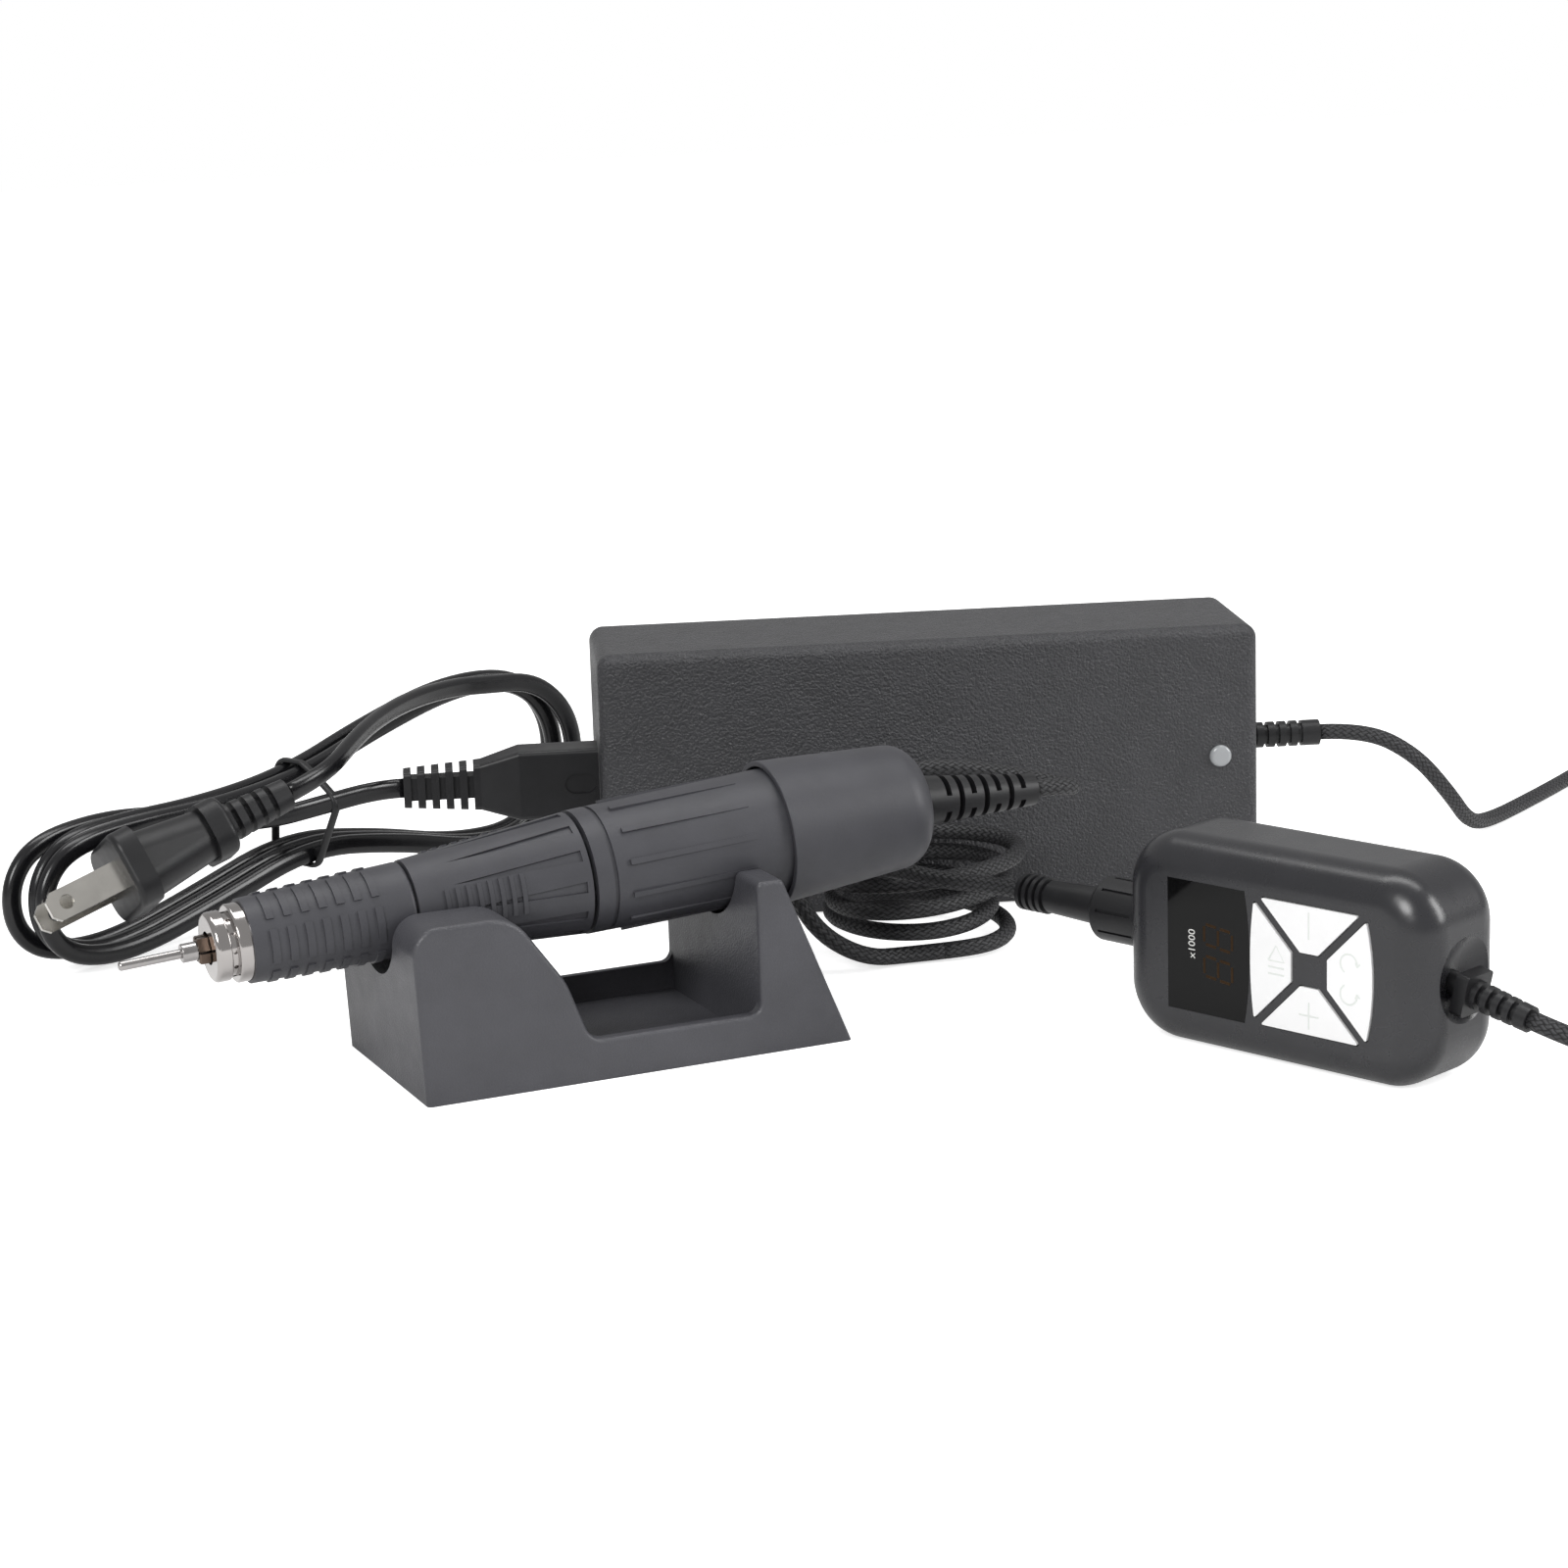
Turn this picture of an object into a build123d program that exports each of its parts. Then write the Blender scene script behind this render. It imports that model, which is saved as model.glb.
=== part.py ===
from build123d import *
from math import cos, pi, radians, sin, tan
import os

# Portable nail drill: a handpiece lying in its stand, an in-line speed controller and a power adapter.
# Millimetres. The origin is the centre of the stand's underside, +X runs along the stand from the
# drill's nose to its cord end, +Z is up, and everything stands on the table at Z = 0.

os.makedirs("parts", exist_ok=True)

# Shared values
overrun = 3.0
running_gap = 0.05
loose_gap = 0.3
run_share = 0.45

# Stand
stand_length = 87.0
stand_width = 47.0
stand_arm_height = 34.0
stand_tray_rim = 8.0
stand_wall = 2.4
stand_floor = 2.2
stand_end_lean = 1.5
stand_front_arm = 18.5
stand_front_knee = 28.5
stand_front_foot = 33.0
stand_knee_height = 20.0
stand_rear_arm_start = 67.9
stand_rear_arm_top = 13.7
stand_shoulder_radius = 5.0
stand_crest_radius = 9.0
stand_knee_radius = 16.0
stand_foot_radius = 4.0
stand_corner_radius = 2.2
stand_tip_radius = 1.2
stand_edge_radius = 1.0
cradle_gap = 0.35

# Handpiece, stations measured along its axis from the front of the nose
tool_nose_x = -77.0
tool_nose_z = 29.9
tool_tilt = 3.8
nose_length = 6.8
nose_bead_diameter = 13.4
nose_groove_diameter = 12.4
nose_rear_diameter = 15.0
nose_bead_length = 3.0
nose_groove_length = 1.2
nose_bead_radius = 0.9
nose_bore_diameter = 6.4
nose_spigot_diameter = 11.95
nose_spigot_length = 4.0
nose_cavity_diameter = 8.8
nose_web = 2.0
nose_hole_diameter = 0.9
nose_hole_depth = 0.6
nose_hole_count = 12
grip_end = 38.6
grip_front_diameter = 16.2
grip_rear_diameter = 18.0
grip_rib_height = 0.35
grip_rib_length = 1.5
grip_rib_pitch = 3.4
grip_rib_count = 7
grip_panel_count = 6
grip_panel_width = 6.4
grip_rib_start = 10.0
grip_edge_radius = 0.8
sleeve_start = 38.9
sleeve_end = 72.7
sleeve_front_diameter = 18.3
sleeve_rear_diameter = 23.9
sleeve_bore_diameter = 15.2
sleeve_flute_count = 12
sleeve_flute_width = 2.2
sleeve_flute_depth = 0.45
sleeve_flute_start = 46.0
sleeve_flute_edge = 1.2
sleeve_rib_count = 8
sleeve_rib_pitch = 2.1
sleeve_rib_length = 0.9
sleeve_rib_height = 0.3
sleeve_rest_start = 44.0
sleeve_rest_count = 3
sleeve_rest_angle = 42.0
sleeve_rest_turn = -65.0
housing_start = 73.6
housing_end = 140.0
housing_front_diameter = 24.3
housing_rear_diameter = 25.6
housing_bore_diameter = 21.0
housing_front_wall = 5.0
housing_ring_station = 3.4
housing_ring_width = 0.8
housing_groove_depth = 0.4
housing_rib_count = 12
housing_rib_width = 1.1
housing_rib_height = 0.3
housing_rib_margin = 7.0
shroud_start = 114.0
shroud_length = 33.1
shroud_front_diameter = 28.8
shroud_rear_diameter = 24.4
shroud_mouth_depth = 8.0
shroud_mouth_gap = 0.6
shroud_end_wall = 5.0
shroud_step_station = 124.0
shroud_wall = 1.6
housing_neck_diameter = 22.8
shroud_end_radius = 6.0
relief_length = 26.4
relief_root_diameter = 10.8
relief_tip_diameter = 6.5
relief_flange_diameter = 14.0
relief_flange_length = 2.5
relief_slot_count = 7
relief_slot_width = 1.2
relief_slot_pitch = 2.9
relief_slot_depth = 1.3
relief_slot_start = 4.8
relief_slot_angle = 140.0
relief_slot_turn = 20.0
relief_droop = 5.0
relief_heel = 1.2
barrel_front_diameter = 13.6
barrel_rear_diameter = 15.0
barrel_bore_diameter = 10.6
barrel_bearing_diameter = 12.0
barrel_start = 6.8
barrel_shoulder = 38.9
spindle_diameter = 8.0
spindle_bore_diameter = 5.6
spindle_front = 3.0
spindle_rear = 68.0
spindle_front_bearing = 10.8
spindle_rear_bearing = 63.5
spindle_bearing_width = 3.5
collet_tip_front = -2.2
collet_tip_length = 2.6
collet_tip_width = 4.9
collet_body_diameter = 5.4
collet_body_length = 24.0
collet_bar_diameter = 3.2
collet_bar_length = 32.0
collet_bore_diameter = 2.36
collet_bore_length = 20.0
collet_slot_width = 0.5
collet_slot_length = 14.0
collet_draw = 0.8
spring_diameter = 5.3
spring_bore_diameter = 3.6
spring_length = 18.0
pin_shank_diameter = 2.34
pin_tip_diameter = 1.8
pin_collar_diameter = 3.6
pin_collar_length = 2.9
pin_tip_reach = 17.1
pin_shank_length = 14.0
pin_tip_radius = 0.6
cam_outer_diameter = 18.4
cam_length = 5.0
cam_station = 59.0
cam_pin_diameter = 1.8
cam_pin_count = 2
cam_pin_inset = 4.5
twist_angle = 60.0
cam_slot_margin = 16.0
stator_start = 90.0
stator_length = 30.0
stator_bore_diameter = 10.2
stator_slot_count = 6
stator_slot_width = 2.6
stator_yoke = 2.0
winding_overhang = 4.0
winding_outer_diameter = 17.0
winding_inner_diameter = 12.0
rotor_magnet_diameter = 9.2
rotor_magnet_length = 28.0
motor_shaft_diameter = 4.0
drive_tongue_length = 8.0
motor_bearing_diameter = 9.0
motor_bearing_width = 3.5
motor_front_bearing = 75.1
winding_end_gap = 2.0
end_cap_start = stator_start + stator_length + winding_overhang + winding_end_gap
end_cap_length = 7.0
end_cap_recess = 1.0
motor_shaft_end = end_cap_start + end_cap_length + end_cap_recess

# Power adapter, standing on its long narrow side
adapter_x = 102.8
adapter_y = 58.8
adapter_turn = -18.7
adapter_width = 145.0
adapter_height = 60.0
adapter_depth = 39.0
adapter_front_depth = 25.0
adapter_wall = 2.2
adapter_corner_radius = 3.2
adapter_edge_radius = 2.4
adapter_board_thickness = 1.6
adapter_board_margin = 4.0
adapter_post_length = 4.0
adapter_post_diameter = 7.0
adapter_post_inset = 12.0
adapter_lamp_inset = 8.5
adapter_lamp_x = adapter_width / 2 - adapter_lamp_inset
adapter_lamp_z = 31.0
adapter_lamp_diameter = 4.9
adapter_lamp_rim = 6.6
adapter_lamp_length = 5.0
adapter_lamp_dome = 0.8
transformer_width = 34.0
transformer_height = 30.0
transformer_depth = 22.0
transformer_share = 8.0 / 145.0
transformer_x = adapter_width * transformer_share
transformer_former_width = 20.0
transformer_former_wall = 5.0
capacitor_diameter = 16.0
capacitor_length = 22.0
capacitor_gap = 10.0
capacitor_x = transformer_x - transformer_width / 2 - capacitor_gap - capacitor_diameter / 2
capacitor_spacing = 22.0
capacitor_radius = 1.0
heat_sink_end_gap = 8.5
heat_sink_gap = 3.0
heat_sink_start = transformer_x + transformer_width / 2 + heat_sink_gap
heat_sink_length = adapter_width / 2 - heat_sink_end_gap - heat_sink_start
heat_sink_height = 20.0
heat_sink_thickness = 2.4
heat_sink_x = heat_sink_start + heat_sink_length / 2
heat_sink_spacing = 26.0
inlet_height = 22.0
inlet_width = 14.0
inlet_depth = 19.0
inlet_y = 17.0
inlet_z = 29.5
inlet_socket_height = 15.2
inlet_socket_width = 8.4
inlet_socket_depth = 11.5
inlet_pin_diameter = 2.4
inlet_pin_spacing = 8.6
inlet_pin_reach = 9.0
inlet_pin_root = 6.0
adapter_relief_y = 19.5
adapter_relief_z = 31.0
adapter_relief_diameter = 5.8
adapter_relief_length = 18.1
adapter_relief_flange = 9.0
adapter_relief_flange_length = 2.0
adapter_relief_groove = 0.7
adapter_relief_groove_width = 1.0
adapter_relief_groove_pitch = 2.6
adapter_relief_groove_count = 5

# Mains lead
mains_cord_diameter = 4.2
connector_nose_height = 14.6
connector_nose_width = 7.8
connector_nose_length = 10.6
connector_body_height = 15.4
connector_body_width = 10.0
connector_body_length = 17.5
connector_neck_length = 8.5
connector_neck_height = 10.4
connector_neck_width = 7.6
connector_tip_height = 8.0
connector_tip_width = 6.6
connector_relief_length = 17.0
connector_slot_count = 5
connector_slot_width = 1.4
connector_slot_pitch = 3.1
connector_slot_depth = 1.5
connector_edge_radius = 1.0
connector_mark_length = 7.0
connector_mark_height = 4.4
connector_mark_depth = 0.5
contact_sleeve_diameter = 3.6
contact_sleeve_length = 9.6
contact_bore_diameter = 2.46
plug_place = (-33.1, 94.2, 35.4)
plug_heading = (-0.945, -0.131, -0.301)
plug_across = (-0.1, 0.89, -0.44)
plug_plate_width = 25.0
plug_plate_height = 17.0
plug_plate_length = 5.0
plug_plate_radius = 5.0
plug_plate_edge = 1.2
plug_body_width = 19.0
plug_body_height = 14.5
plug_body_length = 16.0
plug_waist_width = 14.0
plug_waist_height = 11.0
plug_bulge_width = 16.0
plug_bulge_height = 13.0
plug_bulge_length = 5.0
plug_neck_width = 9.4
plug_neck_height = 8.4
plug_tip_width = 7.6
plug_tip_height = 6.8
plug_relief_length = 15.5
plug_slot_count = 4
plug_slot_pitch = 3.0
plug_slot_width = 1.2
plug_slot_depth = 1.3
blade_width = 6.35
blade_thickness = 1.5
blade_length = 17.0
blade_spacing = 12.7
blade_root_length = 8.0
blade_hole_diameter = 3.1
blade_hole_inset = 4.0
tie_width = 2.0
tie_thickness = 1.0
tie_corner_radius = 2.4

# Mains lead bundle: an upright plane through its waist, with places along it, behind it and up
bundle_x = -62.2
bundle_y = 107.0
bundle_turn = 23.3
bundle_layer_count = 3
bundle_gap = 0.6
bundle_waist = 47.0

# Controller, standing on its long edge
controller_x = 114.62
controller_y = -74.85
controller_turn = -69.0
controller_length = 71.5
controller_height = 41.2
controller_depth = 25.0
controller_wall = 2.0
controller_corner_radius = 11.5
controller_edge_radius = 7.0
controller_front_depth = 14.0
dimple_radius = 12.5
dimple_depth = 3.0
window_left = -23.45
window_right = -5.15
window_half_height = 12.8
window_bulge = 1.2
window_thickness = 1.3
window_gap = 0.05
window_ledge = 1.2
pad_centre = 9.95
pad_half_width = 12.8
pad_half_height = 12.5
pad_left_bulge = 1.0
pad_right_bulge = 1.7
hub_half_width = 3.9
hub_half_height = 3.0
spoke_half_width = 0.65
button_gap = 0.25
button_rise = 0.3
button_rim = 0.45
button_rim_thickness = 0.9
button_travel = 0.5
button_corner_radius = 0.5
button_stem_diameter = 3.0
switch_size = 5.0
switch_height = 2.4
keypad_x = 7.4
keypad_z = 8.6
controller_board_length = 47.0
controller_board_height = 30.0
controller_board_thickness = 1.6
controller_board_depth = 9.4
controller_post_diameter = 4.4
controller_post_x = 19.0
controller_post_z = 12.6
display_width = 14.0
display_height = 20.0
display_gap = 0.2
boss_diameter = 5.0
boss_x = 26.8
boss_z = 9.5
screw_diameter = 2.0
screw_hole_diameter = 2.4
screw_head_diameter = 3.8
screw_head_height = 1.3
screw_length = 15.0
screw_sink = 9.0
socket_diameter = 8.0
socket_start = 25.75
socket_end = 42.25
socket_nut_diameter = 10.6
socket_nut_start = 34.15
socket_nut_end = 35.85
socket_flange_diameter = 11.0
socket_flange_thickness = 1.5
socket_well_diameter = 6.7
socket_well_depth = 5.0
controller_relief_droop = 13.0
controller_relief_drop = 1.0
controller_relief_neck = 4.8
controller_relief_anchor = 7.0
controller_relief_tip = 5.0
controller_relief_flange = 8.0
controller_relief_flange_length = 2.6
controller_relief_length = 14.5
controller_relief_diameter = 5.6
controller_relief_groove = 0.8
controller_relief_groove_width = 1.1
controller_relief_groove_pitch = 2.4
controller_relief_groove_count = 4

# Handpiece plug in the controller's left end, stations from the controller's centre outwards
ring_start = 36.15
ring_length = 12.6
ring_diameter = 12.8
ring_bore_diameter = 8.3
ring_mouth_diameter = 10.0
ring_lip = 2.0
ring_edge_radius = 0.7
ring_groove_count = 9
ring_groove_depth = 0.4
ring_groove_width = 0.6
plug_collar_diameter = 9.6
plug_collar_length = 1.4
plug_collar_start = 43.75
barrel_end = 63.05
plug_barrel_diameter = 8.0
plug_barrel_tip_diameter = 6.6
plug_tongue_diameter = 6.4
boot_end = 70.15
boot_diameter = 7.4
boot_core_diameter = 5.6
boot_ring_length = 1.0
boot_ring_pitch = 1.8
boot_ring_count = 4
contact_pin_diameter = 0.8
contact_pin_length = 9.0
contact_pin_circle = 3.8
contact_pin_count = 5
contact_pin_start = 32.75

# Braided cords
braid_diameter = 3.6
loose_coil_x = 88.0
loose_coil_y = 38.0
loose_coil_top = 21.1
loose_coil_pitch = 4.85
loose_coil_length = 44.0
loose_coil_width = 34.0
loose_coil_lean = -20.0
loose_coil_fan = 33.0
loose_coil_drift = 1.2
loose_coil_wander = 1.9

# Corners of the cords' free stretches, in the order they are passed
boot_lead_middle = (78.6, 8.4, 20.4)
handpiece_tail_places = [
    (67, 19.6, 2.8),
    (58, 23.6, 8.6),
    (54.5, 29, 18),
    (58.5, 31, 28),
    (67.5, 26, 37),
    (80, 18, 42.3),
    (93, 15.6, 40.6),
    (104.2, 14.9, 37.6),
    (108.6, 10.5, 36.6),
    (108.4, 4.4, 37.2),
]
supply_first_places = [
    (216.5, 41.4, 24.5),
    (226.5, 42.5, 14),
    (237, 49.5, 4.2),
    (249.5, 58.5, 1.9),
    (265, 68, 1.9),
    (283, 79.5, 1.9),
    (299, 90.5, 1.9),
    (313, 92.5, 1.9),
    (325.5, 84.5, 1.9),
    (331.5, 71, 1.9),
]
supply_second_places = [
    (312, -16, 4.4),
    (296, -30, 2.4),
    (276, -43, 1.9),
    (254, -62, 1.9),
    (231, -84, 1.9),
    (209, -105, 1.9),
    (186, -124, 1.9),
    (167, -137, 3.0),
    (151, -142, 8.0),
]
mains_lead_places = [(45.5, -5.4, 26.0), (37.5, 1.0, 23.8), (29.5, 6.2, 23.9), (22.5, 9.0, 25.8)]
mains_tail_places = [(77, -3.5, 44.8), (61, -10, 44.2), (46, -18, 42.4)]
cord_straight = 9.0
relief_straight = 7.9
outlet_straight = 11.0
tie_lowest_run = 13.8
tie_highest_run = 32.2
tie_front_run = -9.6
neat_coil_x = 300.0
neat_coil_y = 30.0
neat_coil_radius = 26.0
neat_coil_step = 4.2
neat_coil_turns = 3
neat_coil_angle = 12.0


def seat(base, place=(0, 0, 0), turn=(0, 0, 0)):
    """Returns a plane placed and turned in the axes of another plane."""
    return Plane(base.location * Location(place, turn))


def spoke(base, station, angle):
    """Returns a plane on a base's Z axis whose own Z axis points outwards at an angle."""
    return seat(seat(base, (0, 0, station), (0, 0, angle)), turn=(0, 90, 0))


def turned(base, *outline, radii=None, arc=360, mode=Mode.ADD):
    """Revolves an outline of (station, radius) points about the Z axis of a plane."""
    with BuildSketch(Plane(origin=base.origin, x_dir=base.z_dir, z_dir=base.y_dir)) as section:
        with BuildLine():
            if radii:
                FilletPolyline(*outline, radius=radii, close=True)
            else:
                Polyline(*outline, close=True)
        make_face()
    revolve(section.sketch, axis=Axis(base.origin, base.z_dir), revolution_arc=arc, mode=mode)


def ring(base, start, end, outer, inner=0, mode=Mode.ADD):
    """Makes a plain ring, or a disc, between two stations of a plane's Z axis."""
    outline = ((start, inner / 2), (start, outer / 2), (end, outer / 2), (end, inner / 2))
    turned(base, *outline, mode=mode)


def cone(base, start, end, first, last, inner=0, mode=Mode.ADD):
    """Makes a tapered ring, or a tapered disc, between two stations of a plane's Z axis."""
    outline = ((start, inner / 2), (start, first / 2), (end, last / 2), (end, inner / 2))
    turned(base, *outline, mode=mode)


def slab(base, start, end, width, reach, mode=Mode.ADD):
    """Makes a flat bar along a plane's Z axis, wide across its X axis, reaching out both ways in Y."""
    with BuildSketch(seat(base, (0, 0, start))) as section:
        Rectangle(width, 2 * reach)
    extrude(section.sketch, amount=end - start, mode=mode)


def rounded_block(front, width, height, depth, corner_radius, front_radius, rear_radius):
    """Returns a block behind a front plane, with its outline and its two rims rounded."""
    with BuildPart(mode=Mode.PRIVATE) as block:
        with BuildSketch(front):
            RectangleRounded(width, height, corner_radius)
        extrude(amount=-depth)
        rims = block.faces().sort_by(Axis(front.origin, front.z_dir))
        fillet(rims[-1].edges(), front_radius)
        fillet(block.faces().sort_by(Axis(front.origin, front.z_dir))[0].edges(), rear_radius)
    return block.part


def box(base, x_range, y_range, z_range, mode=Mode.ADD):
    """Makes a box between two places along each axis of a plane."""
    middle = ((x_range[0] + x_range[1]) / 2, (y_range[0] + y_range[1]) / 2, z_range[0])
    with BuildSketch(seat(base, middle)) as section:
        Rectangle(x_range[1] - x_range[0], y_range[1] - y_range[0])
    extrude(section.sketch, amount=z_range[1] - z_range[0], mode=mode)


def bend_radii(points):
    """Returns the radius of each bend of a cord's route, as large as its two runs allow."""
    radii = []
    for before, corner, after in zip(points, points[1:], points[2:]):
        arriving = Vector(corner) - Vector(before)
        leaving = Vector(after) - Vector(corner)
        half_turn = radians(arriving.get_angle(leaving)) / 2
        radii.append(run_share * min(arriving.length, leaving.length) / tan(half_turn))
    return radii


def cord_tube(points, diameter, name):
    """Sweeps a round cord along a route of straight runs and tangent arcs, and prints its measures."""
    radii = bend_radii(points)
    with BuildLine(mode=Mode.PRIVATE):
        route = FilletPolyline(*points, radius=radii)
    with BuildSketch(Plane(origin=route @ 0, z_dir=route % 0)) as section:
        Circle(diameter / 2)
    sweep(section.sketch, path=route)
    length = route.length
    volume = section.sketch.area * length
    print(f"{name}: length {length:.0f}, least radius {min(radii):.1f}, volume of the route {volume:.0f}")
    return route


def least_gap(line, diameter, name):
    """Prints the least gap of a wound tube to its own other turns."""
    count = int(2 * line.length / diameter)
    points = [line @ (i / count) for i in range(count + 1)]
    apart = 10
    near = min((points[i] - points[j]).length for i in range(count) for j in range(i + apart, count + 1))
    print(f"{name}: least gap between turns {near - diameter:.2f}")


# Stand
stand_left = -stand_length / 2
stand_right = stand_length / 2
stand_rear_arm_x = stand_left + stand_rear_arm_start
stand_crest_end = stand_right - stand_rear_arm_top
tool = Plane(
    origin=(tool_nose_x, 0, tool_nose_z),
    x_dir=(0, 1, 0),
    z_dir=(cos(radians(tool_tilt)), 0, sin(radians(tool_tilt))),
)


def station_of(x):
    """Returns the handpiece's station above a place on the stand."""
    return (x - tool_nose_x) / cos(radians(tool_tilt))


def sleeve_diameter(station):
    """Returns the twist sleeve's outer diameter at a station."""
    share = (station - sleeve_start) / (sleeve_end - sleeve_start)
    return sleeve_front_diameter + share * (sleeve_rear_diameter - sleeve_front_diameter)


def housing_diameter(station):
    """Returns the motor housing's outer diameter at a station in front of the shroud."""
    share = (station - housing_start) / (shroud_start - housing_start)
    return housing_front_diameter + share * (housing_rear_diameter - housing_front_diameter)


front_cradle_diameter = sleeve_diameter(station_of(stand_left + stand_front_knee)) + 2 * cradle_gap
rear_cradle_diameter = housing_diameter(station_of(stand_right)) + 2 * (housing_rib_height + cradle_gap)
front_cradle = (station_of(stand_left - 2 * overrun), station_of(stand_left + stand_front_foot + overrun))
rear_cradle = (station_of(stand_rear_arm_x - overrun), station_of(stand_right + overrun))
stand_side = Plane(origin=(0, -stand_width / 2, 0), x_dir=(1, 0, 0), z_dir=(0, -1, 0))
stand_inside = Plane(origin=(0, -stand_width / 2 + stand_wall, 0), x_dir=(1, 0, 0), z_dir=(0, -1, 0))

with BuildPart(mode=Mode.PRIVATE) as stand_hollows:
    with BuildSketch(stand_inside):
        with BuildLine():
            Polyline(
                (stand_left + stand_wall, -overrun),
                (stand_left + stand_wall - stand_end_lean, stand_arm_height - stand_wall),
                (stand_left + stand_front_arm - stand_wall, stand_arm_height - stand_wall),
                (stand_left + stand_front_knee - stand_wall, stand_knee_height - stand_wall),
                (stand_left + stand_front_foot - 2 * stand_wall, -overrun),
                close=True,
            )
        make_face()
        with BuildLine():
            Polyline(
                (stand_rear_arm_x + stand_wall, -overrun),
                (stand_rear_arm_x + stand_wall, stand_arm_height - 2 * stand_wall),
                (stand_right - stand_wall - stand_wall, -overrun),
                close=True,
            )
        make_face()
    extrude(amount=-(stand_width - 2 * stand_wall))
    ring(tool, *front_cradle, front_cradle_diameter + 2 * stand_wall, mode=Mode.SUBTRACT)
    ring(tool, *rear_cradle, rear_cradle_diameter + 2 * stand_wall, mode=Mode.SUBTRACT)

with BuildPart() as handpiece_stand:
    with BuildSketch(stand_side):
        with BuildLine():
            FilletPolyline(
                (stand_left, 0),
                (stand_left - stand_end_lean, stand_arm_height),
                (stand_left + stand_front_arm, stand_arm_height),
                (stand_left + stand_front_knee, stand_knee_height),
                (stand_left + stand_front_foot, stand_tray_rim),
                (stand_rear_arm_x, stand_tray_rim),
                (stand_rear_arm_x, stand_arm_height),
                (stand_crest_end, stand_arm_height),
                (stand_right, 0),
                radius=[
                    0,
                    stand_shoulder_radius,
                    stand_crest_radius,
                    stand_knee_radius,
                    stand_foot_radius,
                    stand_corner_radius,
                    stand_tip_radius,
                    stand_tip_radius,
                    0,
                ],
                close=True,
            )
        make_face()
    extrude(amount=-stand_width)
    rims = handpiece_stand.edges().filter_by(Axis.Y, reverse=True)
    fillet(rims.filter_by(lambda rim: (rim @ (1 / 2)).Z > 0), stand_edge_radius)
    ring(tool, *front_cradle, front_cradle_diameter, mode=Mode.SUBTRACT)
    ring(tool, *rear_cradle, rear_cradle_diameter, mode=Mode.SUBTRACT)
    with BuildSketch(Plane.XY.offset(stand_floor)):
        with Locations(((stand_left + stand_front_foot + stand_rear_arm_x) / 2, 0)):
            Rectangle(stand_rear_arm_x - stand_left - stand_front_foot, stand_width - 2 * stand_wall)
    extrude(amount=stand_arm_height, mode=Mode.SUBTRACT)
    add(stand_hollows.part, mode=Mode.SUBTRACT)

handpiece_stand.part.label = "handpiece_stand"
export_step(handpiece_stand.part, "parts/handpiece_stand.step")


# Handpiece: nose, grip and barrel
cam_pin_station = cam_station + cam_length / 2

with BuildPart() as nose_cap:
    turned(
        tool,
        (0, nose_bore_diameter / 2),
        (0, nose_bead_diameter / 2),
        (nose_bead_length, nose_bead_diameter / 2),
        (nose_bead_length, nose_groove_diameter / 2),
        (nose_bead_length + nose_groove_length, nose_groove_diameter / 2),
        (nose_bead_length + nose_groove_length, nose_rear_diameter / 2),
        (nose_length, nose_rear_diameter / 2),
        (nose_length, nose_spigot_diameter / 2),
        (nose_length + nose_spigot_length, nose_spigot_diameter / 2),
        (nose_length + nose_spigot_length, nose_cavity_diameter / 2),
        (nose_web, nose_cavity_diameter / 2),
        (nose_web, nose_bore_diameter / 2),
        radii=[0, nose_bead_radius, nose_bead_radius / 3, 0, 0, nose_bead_radius / 2, 0, 0, 0, 0, 0, 0],
    )
    for index in range(nose_hole_count):
        hole = spoke(tool, nose_bead_length + nose_groove_length / 2, 360 / nose_hole_count * index)
        hole_floor = nose_groove_diameter / 2 - nose_hole_depth
        ring(hole, hole_floor, nose_groove_diameter / 2, nose_hole_diameter, mode=Mode.SUBTRACT)

nose_cap.part.label = "nose_cap"
export_step(nose_cap.part, "parts/nose_cap.step")

with BuildPart() as front_barrel:
    turned(
        tool,
        (barrel_start, barrel_bearing_diameter / 2),
        (barrel_start, barrel_front_diameter / 2),
        (barrel_shoulder, barrel_front_diameter / 2),
        (barrel_shoulder, barrel_rear_diameter / 2),
        (housing_start + end_cap_recess, barrel_rear_diameter / 2),
        (housing_start + end_cap_recess, barrel_bearing_diameter / 2),
        (spindle_rear_bearing, barrel_bearing_diameter / 2),
        (spindle_rear_bearing, barrel_bore_diameter / 2),
        (spindle_front_bearing + spindle_bearing_width, barrel_bore_diameter / 2),
        (spindle_front_bearing + spindle_bearing_width, barrel_bearing_diameter / 2),
    )
    slot_half_width = cam_pin_diameter / 2 + loose_gap
    for index in range(cam_pin_count):
        turned(
            seat(tool, turn=(0, 0, 360 / cam_pin_count * index - cam_slot_margin)),
            (cam_pin_station - slot_half_width, cam_pin_inset),
            (cam_pin_station - slot_half_width, barrel_rear_diameter),
            (cam_pin_station + slot_half_width, barrel_rear_diameter),
            (cam_pin_station + slot_half_width, cam_pin_inset),
            arc=twist_angle + 2 * cam_slot_margin,
            mode=Mode.SUBTRACT,
        )

front_barrel.part.label = "front_barrel"
export_step(front_barrel.part, "parts/front_barrel.step")


def grip_diameter(station):
    """Returns the front grip's outer diameter at a station."""
    share = (station - nose_length) / (grip_end - nose_length)
    return grip_front_diameter + share * (grip_rear_diameter - grip_front_diameter)


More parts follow.
